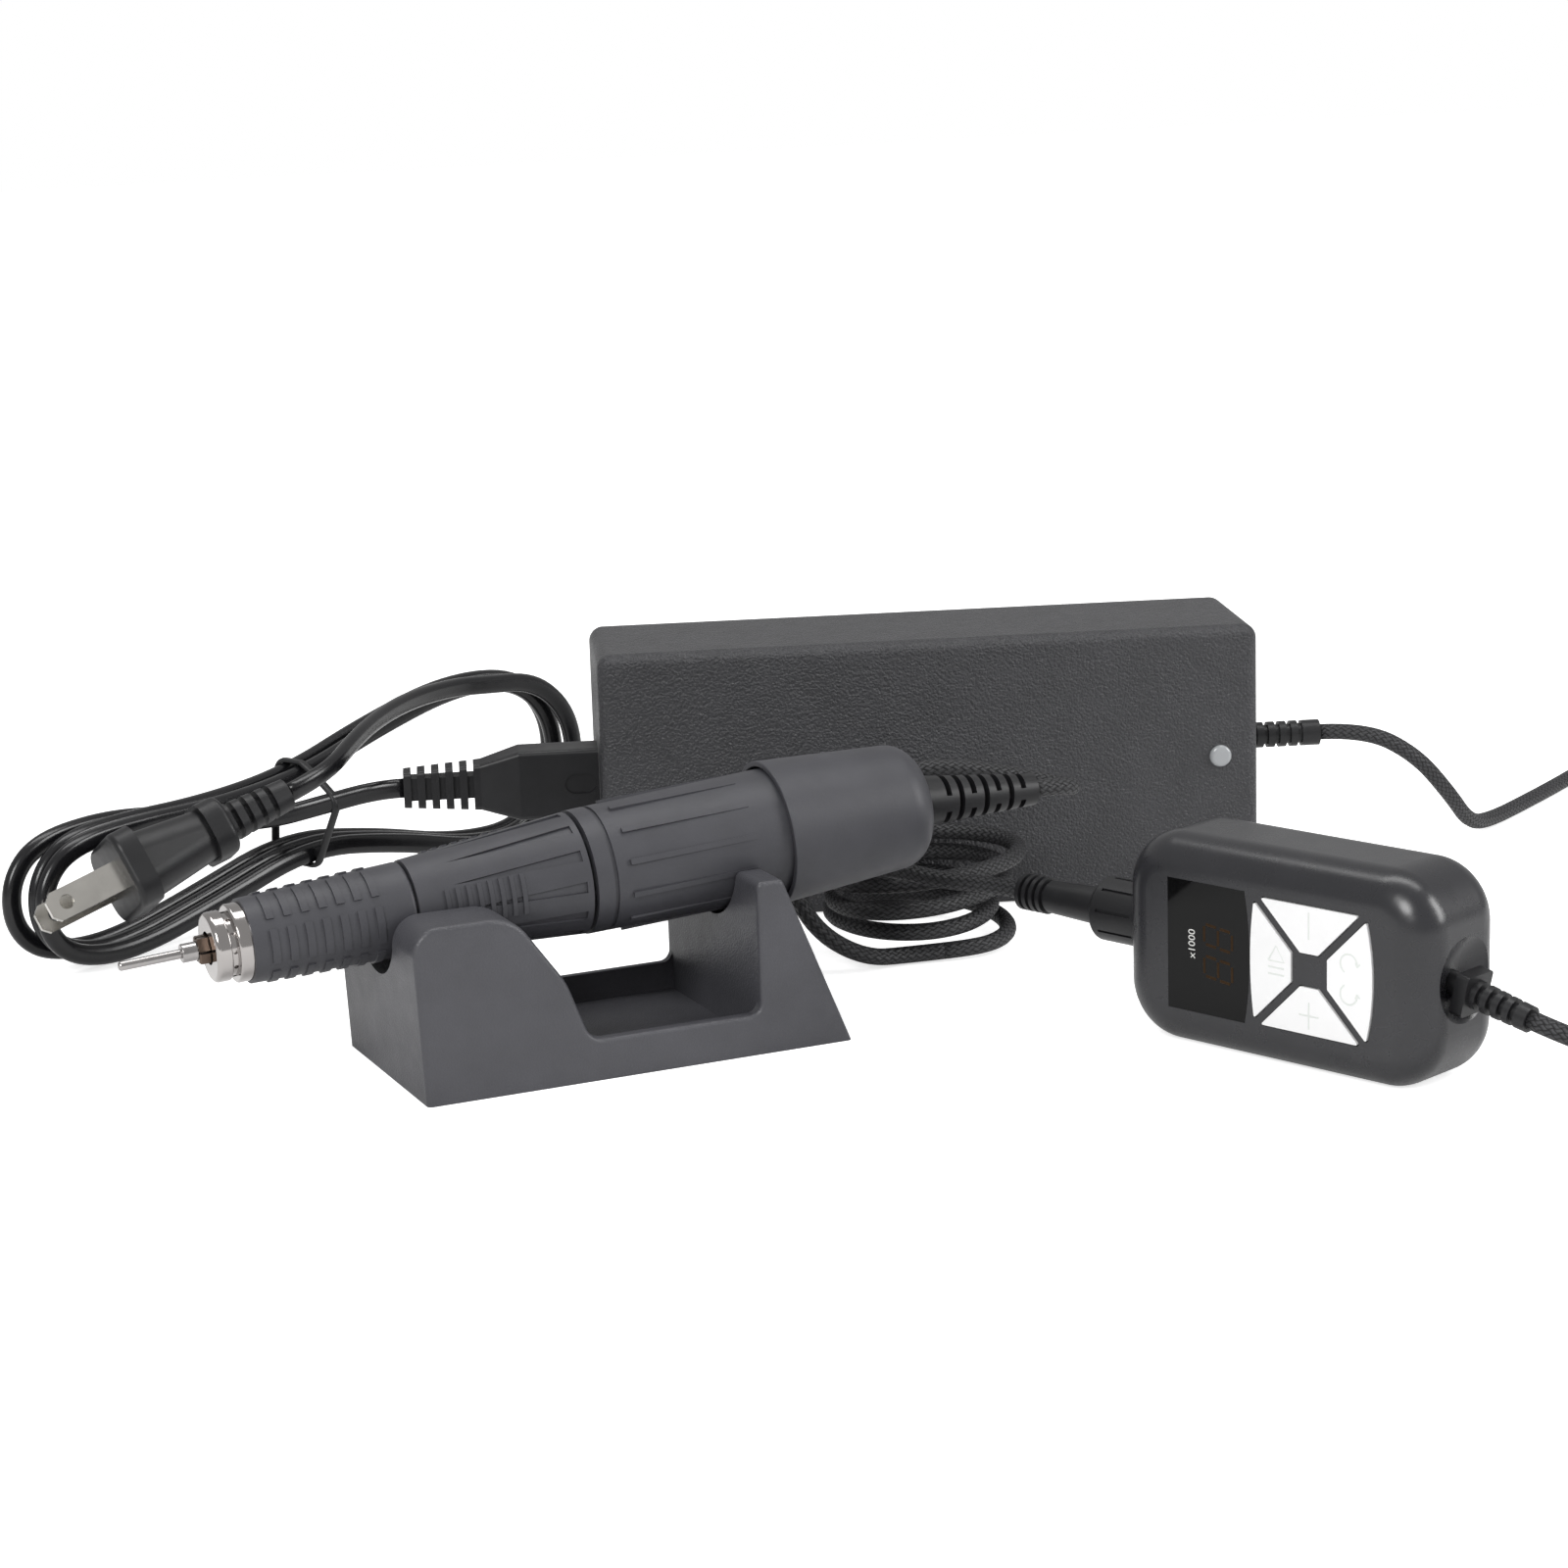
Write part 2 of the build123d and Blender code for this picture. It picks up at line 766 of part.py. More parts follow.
with BuildPart(mode=Mode.PRIVATE) as grip_ribs:
    for index in range(grip_rib_count):
        rib_station = grip_rib_start + grip_rib_pitch * index
        ring(
            tool,
            rib_station,
            rib_station + grip_rib_length,
            grip_diameter(rib_station + grip_rib_length / 2) + 2 * grip_rib_height,
            barrel_rear_diameter,
        )
    panel_gap = pi * grip_front_diameter / grip_panel_count - grip_panel_width
    for index in range(grip_panel_count // 2):
        gap_plane = seat(tool, turn=(0, 0, 180 / (grip_panel_count // 2) * index))
        slab(gap_plane, nose_length, grip_end, panel_gap, grip_rear_diameter, mode=Mode.SUBTRACT)

with BuildPart() as front_grip:
    cone(tool, nose_length, grip_end, grip_front_diameter, grip_rear_diameter)
    grip_circles = front_grip.edges().filter_by(GeomType.CIRCLE)
    fillet(grip_circles.sort_by(Axis(tool.origin, tool.z_dir))[-1], grip_edge_radius)
    add(grip_ribs.part)
    ring(tool, nose_length, grip_end, barrel_front_diameter, mode=Mode.SUBTRACT)

front_grip.part.label = "front_grip"
export_step(front_grip.part, "parts/front_grip.step")

# Handpiece: twist sleeve and the cam that it turns
flute_planes = [
    seat(tool, turn=(0, 0, 360 / sleeve_flute_count * index)) for index in range(sleeve_flute_count // 2)
]

with BuildPart(mode=Mode.PRIVATE) as sleeve_flutes:
    for flute_plane in flute_planes:
        with BuildSketch(Plane(origin=tool.origin, x_dir=tool.z_dir, z_dir=flute_plane.y_dir)):
            with BuildLine():
                Polyline(
                    (sleeve_flute_start, 0),
                    (sleeve_end - sleeve_flute_edge, sleeve_flute_width / 2),
                    (sleeve_end - sleeve_flute_edge, -sleeve_flute_width / 2),
                    close=True,
                )
            make_face()
        extrude(amount=sleeve_rear_diameter, both=True)
    cone(
        tool,
        sleeve_start,
        sleeve_end,
        sleeve_front_diameter - 2 * sleeve_flute_depth,
        sleeve_rear_diameter - 2 * sleeve_flute_depth,
        mode=Mode.SUBTRACT,
    )

with BuildPart(mode=Mode.PRIVATE) as sleeve_ribs:
    for index in range(sleeve_rib_count):
        rib_station = sleeve_rest_start + sleeve_rib_pitch * index
        ring(
            tool,
            rib_station,
            rib_station + sleeve_rib_length,
            sleeve_diameter(rib_station + sleeve_rib_length / 2) + 2 * sleeve_rib_height,
            cam_outer_diameter - 2 * sleeve_rib_height,
        )
    for index in range(sleeve_rest_count):
        rest_edge = 360 / sleeve_rest_count * index + sleeve_rest_angle / 2 + sleeve_rest_turn
        turned(
            seat(tool, turn=(0, 0, rest_edge)),
            (sleeve_start, 0),
            (sleeve_start, sleeve_rear_diameter),
            (sleeve_end, sleeve_rear_diameter),
            (sleeve_end, 0),
            arc=360 / sleeve_rest_count - sleeve_rest_angle,
            mode=Mode.SUBTRACT,
        )

with BuildPart() as twist_sleeve:
    cone(tool, sleeve_start, sleeve_end, sleeve_front_diameter, sleeve_rear_diameter)
    add(sleeve_flutes.part, mode=Mode.SUBTRACT)
    add(sleeve_ribs.part)
    ring(tool, sleeve_start, sleeve_end, sleeve_bore_diameter, mode=Mode.SUBTRACT)
    ring(tool, cam_station, sleeve_end, cam_outer_diameter, mode=Mode.SUBTRACT)

twist_sleeve.part.label = "twist_sleeve"
export_step(twist_sleeve.part, "parts/twist_sleeve.step")

with BuildPart() as draw_cam:
    ring(tool, cam_station, cam_station + cam_length, cam_outer_diameter, sleeve_bore_diameter)
    for index in range(cam_pin_count):
        pin = spoke(tool, cam_pin_station, 360 / cam_pin_count * index)
        ring(pin, cam_pin_inset, cam_outer_diameter / 2 - running_gap, cam_pin_diameter)

draw_cam.part.label = "draw_cam"
export_step(draw_cam.part, "parts/draw_cam.step")

# Handpiece: spindle, collet and test pin
with BuildPart() as spindle:
    ring(tool, spindle_front, spindle_rear, spindle_diameter, spindle_bore_diameter)

spindle.part.label = "spindle"
export_step(spindle.part, "parts/spindle.step")

with BuildPart() as spindle_bearings:
    for bearing_station in (spindle_front_bearing, spindle_rear_bearing):
        bearing_end = bearing_station + spindle_bearing_width
        ring(tool, bearing_station, bearing_end, barrel_bearing_diameter, spindle_diameter + 2 * running_gap)

spindle_bearings.part.label = "spindle_bearings"
export_step(spindle_bearings.part, "parts/spindle_bearings.step")

collet_body_start = collet_tip_front + collet_tip_length
collet_body_end = collet_body_start + collet_body_length

with BuildPart() as collet:
    with BuildSketch(seat(tool, (0, 0, collet_tip_front))):
        RegularPolygon(collet_tip_width / 2, 6, major_radius=False)
    extrude(amount=collet_tip_length)
    chamfer(collet.faces().sort_by(Axis(tool.origin, tool.z_dir))[0].edges(), collet_tip_length / 9)
    ring(tool, collet_body_start, collet_body_end, collet_body_diameter)
    ring(tool, collet_body_end, collet_body_end + collet_bar_length, collet_bar_diameter)
    ring(
        tool,
        collet_tip_front,
        collet_tip_front + collet_bore_length,
        collet_bore_diameter,
        mode=Mode.SUBTRACT,
    )
    for angle in (0, 90):
        slot_plane = seat(tool, turn=(0, 0, angle))
        slot_end = collet_tip_front + collet_slot_length
        slab(slot_plane, collet_tip_front, slot_end, collet_slot_width, collet_tip_width, mode=Mode.SUBTRACT)

collet.part.label = "collet"
export_step(collet.part, "parts/collet.step")

with BuildPart() as collet_spring:
    spring_start = collet_body_end + collet_draw
    ring(tool, spring_start, spring_start + spring_length, spring_diameter, spring_bore_diameter)

collet_spring.part.label = "collet_spring"
export_step(collet_spring.part, "parts/collet_spring.step")

with BuildPart() as test_pin:
    collar_end = collet_tip_front - running_gap
    turned(
        tool,
        (-pin_tip_reach, 0),
        (-pin_tip_reach, pin_tip_diameter / 2),
        (collar_end - pin_collar_length, pin_tip_diameter / 2),
        (collar_end - pin_collar_length, pin_collar_diameter / 2),
        (collar_end, pin_collar_diameter / 2),
        (collar_end, pin_shank_diameter / 2),
        (collar_end + pin_shank_length, pin_shank_diameter / 2),
        (collar_end + pin_shank_length, 0),
        radii=[0, pin_tip_radius, 0, pin_tip_radius / 3, 0, 0, 0, 0],
    )

test_pin.part.label = "test_pin"
export_step(test_pin.part, "parts/test_pin.step")

# Handpiece: motor housing and shroud
with BuildPart(mode=Mode.PRIVATE) as housing_ribs:
    for index in range(housing_rib_count // 2):
        slab(
            seat(tool, turn=(0, 0, 180 / (housing_rib_count // 2) * (index + 1 / 2))),
            housing_start + housing_rib_margin,
            shroud_start - housing_rib_margin,
            housing_rib_width,
            shroud_front_diameter / 2,
        )
    cone(
        tool,
        shroud_start,
        housing_start,
        shroud_front_diameter * 2,
        shroud_front_diameter * 2,
        housing_rear_diameter,
        mode=Mode.SUBTRACT,
    )
    rib_bore_diameter = housing_bore_diameter + 2 * housing_rib_width
    ring(tool, housing_start, shroud_start, rib_bore_diameter, mode=Mode.SUBTRACT)

with BuildPart() as motor_housing:
    cone(tool, housing_start, shroud_start, housing_front_diameter, housing_rear_diameter)
    add(housing_ribs.part)
    ring(tool, shroud_start, shroud_step_station, housing_rear_diameter)
    ring(tool, shroud_step_station, housing_end, housing_neck_diameter)
    ring(
        tool,
        housing_start + housing_ring_station,
        housing_start + housing_ring_station + housing_ring_width,
        shroud_front_diameter,
        housing_diameter(housing_start + housing_ring_station) - 2 * housing_groove_depth,
        mode=Mode.SUBTRACT,
    )
    ring(tool, housing_start + housing_front_wall, housing_end, housing_bore_diameter, mode=Mode.SUBTRACT)
    ring(tool, housing_start, housing_start + end_cap_recess, barrel_rear_diameter, mode=Mode.SUBTRACT)
    ring(
        tool,
        housing_start,
        housing_start + housing_front_wall,
        motor_shaft_diameter + 4 * loose_gap,
        mode=Mode.SUBTRACT,
    )
    ring(
        tool,
        motor_front_bearing,
        housing_start + housing_front_wall,
        motor_bearing_diameter,
        mode=Mode.SUBTRACT,
    )

motor_housing.part.label = "motor_housing"
export_step(motor_housing.part, "parts/motor_housing.step")

shroud_end = shroud_start + shroud_length
shroud_inner_end = shroud_end - shroud_end_wall

with BuildPart() as rear_shroud:
    turned(
        tool,
        (shroud_start, housing_rear_diameter / 2 + shroud_mouth_gap),
        (shroud_start, shroud_front_diameter / 2),
        (shroud_end, shroud_rear_diameter / 2),
        (shroud_end, relief_root_diameter / 2),
        (shroud_inner_end, relief_root_diameter / 2),
        (shroud_inner_end, housing_neck_diameter / 2 - shroud_wall),
        (housing_end, housing_neck_diameter / 2 - shroud_wall),
        (housing_end, housing_neck_diameter / 2),
        (shroud_step_station, housing_neck_diameter / 2),
        (shroud_step_station, housing_rear_diameter / 2),
        (shroud_start + shroud_mouth_depth, housing_rear_diameter / 2),
        (shroud_start + shroud_mouth_depth, housing_rear_diameter / 2 + shroud_mouth_gap),
        radii=[0, shroud_mouth_gap / 2, shroud_end_radius] + [0] * 9,
    )

rear_shroud.part.label = "rear_shroud"
export_step(rear_shroud.part, "parts/rear_shroud.step")

relief_plane = seat(tool, (0, 0, shroud_end), (relief_droop, 0, 0))

with BuildPart() as handpiece_cord_relief:
    turned(
        tool,
        (shroud_inner_end - relief_flange_length, 0),
        (shroud_inner_end - relief_flange_length, relief_flange_diameter / 2),
        (shroud_inner_end, relief_flange_diameter / 2),
        (shroud_inner_end, relief_root_diameter / 2),
        (shroud_end, relief_root_diameter / 2),
        (shroud_end, 0),
    )
    turned(
        relief_plane,
        (-relief_heel, 0),
        (-relief_heel, relief_root_diameter / 2 - relief_heel / 2),
        (0, relief_root_diameter / 2 - loose_gap / 2),
        (relief_length, relief_tip_diameter / 2),
        (relief_length, 0),
    )
    for index in range(relief_slot_count):
        slot_start = relief_slot_start + relief_slot_pitch * index
        core = relief_tip_diameter - 2 * relief_slot_depth
        if index % 2:
            ring(
                relief_plane,
                slot_start,
                slot_start + relief_slot_width,
                relief_flange_diameter,
                core,
                mode=Mode.SUBTRACT,
            )
        else:
            for angle in (0, 180):
                turned(
                    seat(relief_plane, turn=(0, 0, angle + relief_slot_turn)),
                    (slot_start, core / 2),
                    (slot_start, relief_root_diameter),
                    (slot_start + relief_slot_width, relief_root_diameter),
                    (slot_start + relief_slot_width, core / 2),
                    arc=relief_slot_angle,
                    mode=Mode.SUBTRACT,
                )

handpiece_cord_relief.part.label = "handpiece_cord_relief"
export_step(handpiece_cord_relief.part, "parts/handpiece_cord_relief.step")

# Handpiece: motor
slot_radius = housing_bore_diameter / 2 - stator_yoke
stator_end = stator_start + stator_length
slot_planes = [
    seat(tool, turn=(0, 0, 360 / stator_slot_count * index)) for index in range(stator_slot_count // 2)
]

with BuildPart() as stator_core:
    ring(tool, stator_start, stator_end, housing_bore_diameter, stator_bore_diameter)
    for slot_plane in slot_planes:
        slab(slot_plane, stator_start, stator_end, stator_slot_width, slot_radius, mode=Mode.SUBTRACT)

stator_core.part.label = "stator_core"
export_step(stator_core.part, "parts/stator_core.step")

with BuildPart() as stator_windings:
    for slot_plane in slot_planes:
        wire_width = stator_slot_width - 2 * running_gap
        slab(slot_plane, stator_start, stator_end, wire_width, slot_radius - running_gap)
    ring(tool, stator_start, stator_end, winding_inner_diameter, mode=Mode.SUBTRACT)
    ring(tool, stator_start - winding_overhang, stator_start, winding_outer_diameter, winding_inner_diameter)
    ring(tool, stator_end, stator_end + winding_overhang, winding_outer_diameter, winding_inner_diameter)

stator_windings.part.label = "stator_windings"
export_step(stator_windings.part, "parts/stator_windings.step")

with BuildPart() as rotor_magnet:
    magnet_start = stator_start + (stator_length - rotor_magnet_length) / 2
    magnet_end = magnet_start + rotor_magnet_length
    ring(tool, magnet_start, magnet_end, rotor_magnet_diameter, motor_shaft_diameter)

rotor_magnet.part.label = "rotor_magnet"
export_step(rotor_magnet.part, "parts/rotor_magnet.step")

with BuildPart() as motor_shaft:
    ring(tool, spindle_rear - drive_tongue_length, spindle_rear, spindle_bore_diameter)
    ring(tool, spindle_rear, motor_shaft_end, motor_shaft_diameter)

motor_shaft.part.label = "motor_shaft"
export_step(motor_shaft.part, "parts/motor_shaft.step")

with BuildPart() as motor_bearings:
    for bearing_station in (motor_front_bearing, end_cap_start):
        bearing_end = bearing_station + motor_bearing_width
        bearing_bore_diameter = motor_shaft_diameter + 2 * running_gap
        ring(tool, bearing_station, bearing_end, motor_bearing_diameter, bearing_bore_diameter)

motor_bearings.part.label = "motor_bearings"
export_step(motor_bearings.part, "parts/motor_bearings.step")

with BuildPart() as motor_end_bell:
    end_cap_end = end_cap_start + end_cap_length
    ring(tool, end_cap_start, end_cap_end, housing_bore_diameter, motor_shaft_diameter + 4 * loose_gap)
    bearing_end = end_cap_start + motor_bearing_width
    ring(tool, end_cap_start, bearing_end, motor_bearing_diameter, mode=Mode.SUBTRACT)

motor_end_bell.part.label = "motor_end_bell"
export_step(motor_end_bell.part, "parts/motor_end_bell.step")


# Power adapter shells
adapter_floor = Plane(
    origin=(adapter_x, adapter_y, 0),
    x_dir=(cos(radians(adapter_turn)), sin(radians(adapter_turn)), 0),
    z_dir=(0, 0, 1),
)
adapter_front = seat(adapter_floor, (0, 0, adapter_height / 2), (90, 0, 0))
adapter_inside = seat(adapter_front, (0, 0, -adapter_wall))
inlet_plane = seat(adapter_floor, (-adapter_width / 2, inlet_y, inlet_z), (0, -90, 0))
outlet_plane = seat(adapter_floor, (adapter_width / 2, adapter_relief_y, adapter_relief_z), (0, 90, 0))
lamp_plane = seat(adapter_front, (adapter_lamp_x, adapter_lamp_z - adapter_height / 2, 0))
post_places = [
    (side * (adapter_width / 2 - adapter_post_inset), level * (adapter_height / 2 - adapter_post_inset))
    for side in (-1, 1)
    for level in (-1, 1)
]
adapter_block = rounded_block(
    adapter_front,
    adapter_width,
    adapter_height,
    adapter_depth,
    adapter_corner_radius,
    adapter_edge_radius,
    adapter_edge_radius,
)
adapter_room = rounded_block(
    adapter_inside,
    adapter_width - 2 * adapter_wall,
    adapter_height - 2 * adapter_wall,
    adapter_depth - 2 * adapter_wall,
    adapter_corner_radius / 2,
    adapter_edge_radius / 3,
    adapter_edge_radius / 3,
)
adapter_seam = seat(adapter_front, (0, 0, -adapter_front_depth))
inlet_opening = (-inlet_height / 2, inlet_height / 2), (-inlet_width / 2, inlet_width / 2)
board_front = adapter_depth - adapter_wall - adapter_post_length - adapter_board_thickness

with BuildPart() as adapter_front_shell:
    add(adapter_block)
    add(adapter_room, mode=Mode.SUBTRACT)
    split(bisect_by=adapter_seam, keep=Keep.TOP)
    box(inlet_plane, *inlet_opening, (-2 * adapter_wall, adapter_wall), mode=Mode.SUBTRACT)
    ring(outlet_plane, -2 * adapter_wall, adapter_wall, adapter_relief_diameter, mode=Mode.SUBTRACT)
    ring(lamp_plane, -2 * adapter_wall, adapter_wall, adapter_lamp_diameter, mode=Mode.SUBTRACT)

adapter_front_shell.part.label = "adapter_front_shell"
export_step(adapter_front_shell.part, "parts/adapter_front_shell.step")

with BuildPart() as adapter_rear_shell:
    add(adapter_block)
    add(adapter_room, mode=Mode.SUBTRACT)
    split(bisect_by=adapter_seam, keep=Keep.BOTTOM)
    box(inlet_plane, *inlet_opening, (-2 * adapter_wall, adapter_wall), mode=Mode.SUBTRACT)
    for place in post_places:
        post = seat(adapter_front, (*place, -(board_front + adapter_board_thickness)))
        ring(post, -adapter_post_length - adapter_wall / 2, 0, adapter_post_diameter)

adapter_rear_shell.part.label = "adapter_rear_shell"
export_step(adapter_rear_shell.part, "parts/adapter_rear_shell.step")

with BuildPart() as adapter_indicator:
    turned(
        lamp_plane,
        (-adapter_wall - adapter_lamp_length, 0),
        (-adapter_wall - adapter_lamp_length, adapter_lamp_diameter / 2),
        (-adapter_wall - adapter_lamp_dome, adapter_lamp_diameter / 2),
        (-adapter_wall - adapter_lamp_dome, adapter_lamp_rim / 2),
        (-adapter_wall, adapter_lamp_rim / 2),
        (-adapter_wall, adapter_lamp_diameter / 2),
        (adapter_lamp_dome, adapter_lamp_diameter / 2),
        (adapter_lamp_dome, 0),
        radii=[0, 0, 0, 0, 0, 0, adapter_lamp_dome, 0],
    )

adapter_indicator.part.label = "adapter_indicator"
export_step(adapter_indicator.part, "parts/adapter_indicator.step")

with BuildPart() as adapter_cord_relief:
    turned(
        outlet_plane,
        (-adapter_wall - adapter_relief_flange_length, 0),
        (-adapter_wall - adapter_relief_flange_length, adapter_relief_flange / 2),
        (-adapter_wall, adapter_relief_flange / 2),
        (-adapter_wall, adapter_relief_diameter / 2),
        (adapter_relief_length, adapter_relief_diameter / 2),
        (adapter_relief_length, 0),
    )
    for index in range(adapter_relief_groove_count):
        groove = adapter_relief_groove_pitch * (index + 1)
        ring(
            outlet_plane,
            groove,
            groove + adapter_relief_groove_width,
            adapter_relief_flange,
            adapter_relief_diameter - 2 * adapter_relief_groove,
            mode=Mode.SUBTRACT,
        )

adapter_cord_relief.part.label = "adapter_cord_relief"
export_step(adapter_cord_relief.part, "parts/adapter_cord_relief.step")

# Power adapter inlet and circuit
with BuildPart() as adapter_mains_inlet:
    box(inlet_plane, *inlet_opening, (-inlet_depth, 0))
    with BuildSketch(inlet_plane):
        SlotOverall(inlet_socket_height, inlet_socket_width)
    extrude(amount=-inlet_socket_depth, mode=Mode.SUBTRACT)
    for side in (-1, 1):
        pin = seat(inlet_plane, (side * inlet_pin_spacing / 2, 0, -inlet_socket_depth))
        ring(pin, -inlet_pin_root, 0, inlet_pin_diameter, mode=Mode.SUBTRACT)

adapter_mains_inlet.part.label = "adapter_mains_inlet"
export_step(adapter_mains_inlet.part, "parts/adapter_mains_inlet.step")

with BuildPart() as adapter_inlet_pins:
    for side in (-1, 1):
        pin = seat(inlet_plane, (side * inlet_pin_spacing / 2, 0, -inlet_socket_depth))
        ring(pin, -inlet_pin_root, inlet_pin_reach, inlet_pin_diameter)
    pin_ends = adapter_inlet_pins.faces().group_by(Axis(inlet_plane.origin, inlet_plane.z_dir))[-1]
    fillet(pin_ends.edges(), inlet_pin_diameter / 4)

adapter_inlet_pins.part.label = "adapter_inlet_pins"
export_step(adapter_inlet_pins.part, "parts/adapter_inlet_pins.step")

board_left = -adapter_width / 2 + inlet_depth + adapter_board_margin
board_right = adapter_width / 2 - adapter_wall - adapter_board_margin
board_half_height = adapter_height / 2 - adapter_wall - loose_gap
board_plane = seat(adapter_front, (0, 0, -board_front))

with BuildPart() as adapter_circuit_board:
    box(
        board_plane,
        (board_left - inlet_depth, board_right),
        (-board_half_height, board_half_height),
        (-adapter_board_thickness, 0),
    )

adapter_circuit_board.part.label = "adapter_circuit_board"
export_step(adapter_circuit_board.part, "parts/adapter_circuit_board.step")

with BuildPart() as adapter_transformer:
    core_left = transformer_x - transformer_width / 2
    core_right = transformer_x + transformer_width / 2
    box(
        board_plane,
        (core_left, core_right),
        (-transformer_height / 2, transformer_height / 2),
        (0, transformer_depth),
    )
    core_edges = adapter_transformer.edges().filter_by(Axis((0, 0, 0), adapter_front.z_dir))
    chamfer(core_edges, adapter_edge_radius / 2)
    box(
        board_plane,
        (transformer_x - transformer_former_width / 2, transformer_x + transformer_former_width / 2),
        (-transformer_height / 2 - transformer_former_wall, transformer_height / 2 + transformer_former_wall),
        (0, transformer_depth - transformer_former_wall),
    )

adapter_transformer.part.label = "adapter_transformer"
export_step(adapter_transformer.part, "parts/adapter_transformer.step")

with BuildPart() as adapter_capacitors:
    for side in (-1, 1):
        can = seat(board_plane, (capacitor_x, side * capacitor_spacing / 2, 0))
        ring(can, 0, capacitor_length, capacitor_diameter)
    can_circles = adapter_capacitors.edges().filter_by(GeomType.CIRCLE)
    fillet(can_circles.group_by(Axis(board_plane.origin, board_plane.z_dir))[-1], capacitor_radius)

adapter_capacitors.part.label = "adapter_capacitors"
export_step(adapter_capacitors.part, "parts/adapter_capacitors.step")

with BuildPart() as adapter_heat_sinks:
    for side in (-1, 1):
        middle = side * heat_sink_spacing / 2
        box(
            board_plane,
            (heat_sink_x - heat_sink_length / 2, heat_sink_x + heat_sink_length / 2),
            (middle - heat_sink_thickness / 2, middle + heat_sink_thickness / 2),
            (0, heat_sink_height),
        )

adapter_heat_sinks.part.label = "adapter_heat_sinks"
export_step(adapter_heat_sinks.part, "parts/adapter_heat_sinks.step")

# Mains lead: figure-8 connector in the adapter's left end
connector_neck = connector_body_length + connector_neck_length
connector_end = connector_neck + connector_relief_length

with BuildPart() as mains_connector:
    with BuildSketch(seat(inlet_plane, (0, 0, -connector_nose_length))):
        SlotOverall(connector_nose_height, connector_nose_width)
    extrude(amount=connector_nose_length)
    with BuildSketch(inlet_plane):
        RectangleRounded(connector_body_height, connector_body_width, connector_edge_radius)
    extrude(amount=connector_body_length)
    with BuildSketch(seat(inlet_plane, (0, 0, connector_body_length))):
        RectangleRounded(connector_body_height, connector_body_width, connector_edge_radius)
    with BuildSketch(seat(inlet_plane, (0, 0, connector_neck))):
        RectangleRounded(connector_neck_height, connector_neck_width, connector_edge_radius)
    loft()
    with BuildSketch(seat(inlet_plane, (0, 0, connector_neck))):
        RectangleRounded(connector_neck_height, connector_neck_width, connector_edge_radius)
    with BuildSketch(seat(inlet_plane, (0, 0, connector_end))):
        RectangleRounded(connector_tip_height, connector_tip_width, connector_edge_radius)
    loft()
    for index in range(connector_slot_count):
        with BuildSketch(seat(inlet_plane, (0, 0, connector_neck + connector_slot_pitch * (index + 1 / 2)))):
            Rectangle(2 * connector_body_height, 2 * connector_body_width)
            Rectangle(
                connector_tip_height - 2 * connector_slot_depth,
                connector_tip_width - connector_slot_depth,
                mode=Mode.SUBTRACT,
            )
        extrude(amount=connector_slot_width, mode=Mode.SUBTRACT)
    mark_middle = connector_mark_length / 2 + connector_mark_depth
    mark = seat(inlet_plane, (0, -connector_body_width / 2, mark_middle), (90, 0, 0))
    with BuildSketch(mark):
        SlotOverall(connector_mark_length, connector_mark_height, rotation=90)
    extrude(amount=-connector_mark_depth, mode=Mode.SUBTRACT)
    for side in (-1, 1):
        sleeve = seat(inlet_plane, (side * inlet_pin_spacing / 2, 0, -connector_nose_length))
        ring(sleeve, 0, contact_sleeve_length, contact_sleeve_diameter, mode=Mode.SUBTRACT)

mains_connector.part.label = "mains_connector"
export_step(mains_connector.part, "parts/mains_connector.step")

with BuildPart() as mains_connector_contacts:
    for side in (-1, 1):
        sleeve = seat(inlet_plane, (side * inlet_pin_spacing / 2, 0, -connector_nose_length))
        ring(sleeve, 0, contact_sleeve_length, contact_sleeve_diameter, contact_bore_diameter)

mains_connector_contacts.part.label = "mains_connector_contacts"
export_step(mains_connector_contacts.part, "parts/mains_connector_contacts.step")


# Controller: shells
controller_floor = Plane(
    origin=(controller_x, controller_y, 0),
    x_dir=(cos(radians(controller_turn)), sin(radians(controller_turn)), 0),
    z_dir=(0, 0, 1),
)
controller_front = seat(controller_floor, (0, -controller_depth / 2, controller_height / 2), (90, 0, 0))
controller_inside = seat(controller_front, (0, 0, -controller_wall))
controller_seam = seat(controller_front, (0, 0, -controller_front_depth))
controller_left = seat(controller_floor, (0, 0, controller_height / 2), (0, -90, 0))
dimple_distance = controller_length / 2 - dimple_depth + dimple_radius
dimple_floor = controller_length / 2 - dimple_depth
relief_start = seat(
    controller_floor,
    (dimple_floor, 0, controller_height / 2 - controller_relief_drop),
    (0, 90 + controller_relief_droop, 0),
)
button_wall_back = controller_wall + running_gap
board_depth = controller_board_depth
boss_places = [(across * boss_x, up * boss_z) for across in (-1, 1) for up in (-1, 1)]
controller_block = rounded_block(
    controller_front,
    controller_length,
    controller_height,
    controller_depth,
    controller_corner_radius,
    controller_edge_radius,
    controller_edge_radius,
)
controller_room = rounded_block(
    controller_inside,
    controller_length - 2 * controller_wall,
    controller_height - 2 * controller_wall,
    controller_depth - 2 * controller_wall,
    controller_corner_radius - controller_wall,
    controller_edge_radius - controller_wall,
    controller_edge_radius - controller_wall,
)

with BuildPart(mode=Mode.PRIVATE) as controller_case:
    add(controller_room)
    for side in (-1, 1):
        with Locations(seat(controller_floor, (side * dimple_distance, 0, controller_height / 2)).location):
            Sphere(dimple_radius + controller_wall, mode=Mode.SUBTRACT)

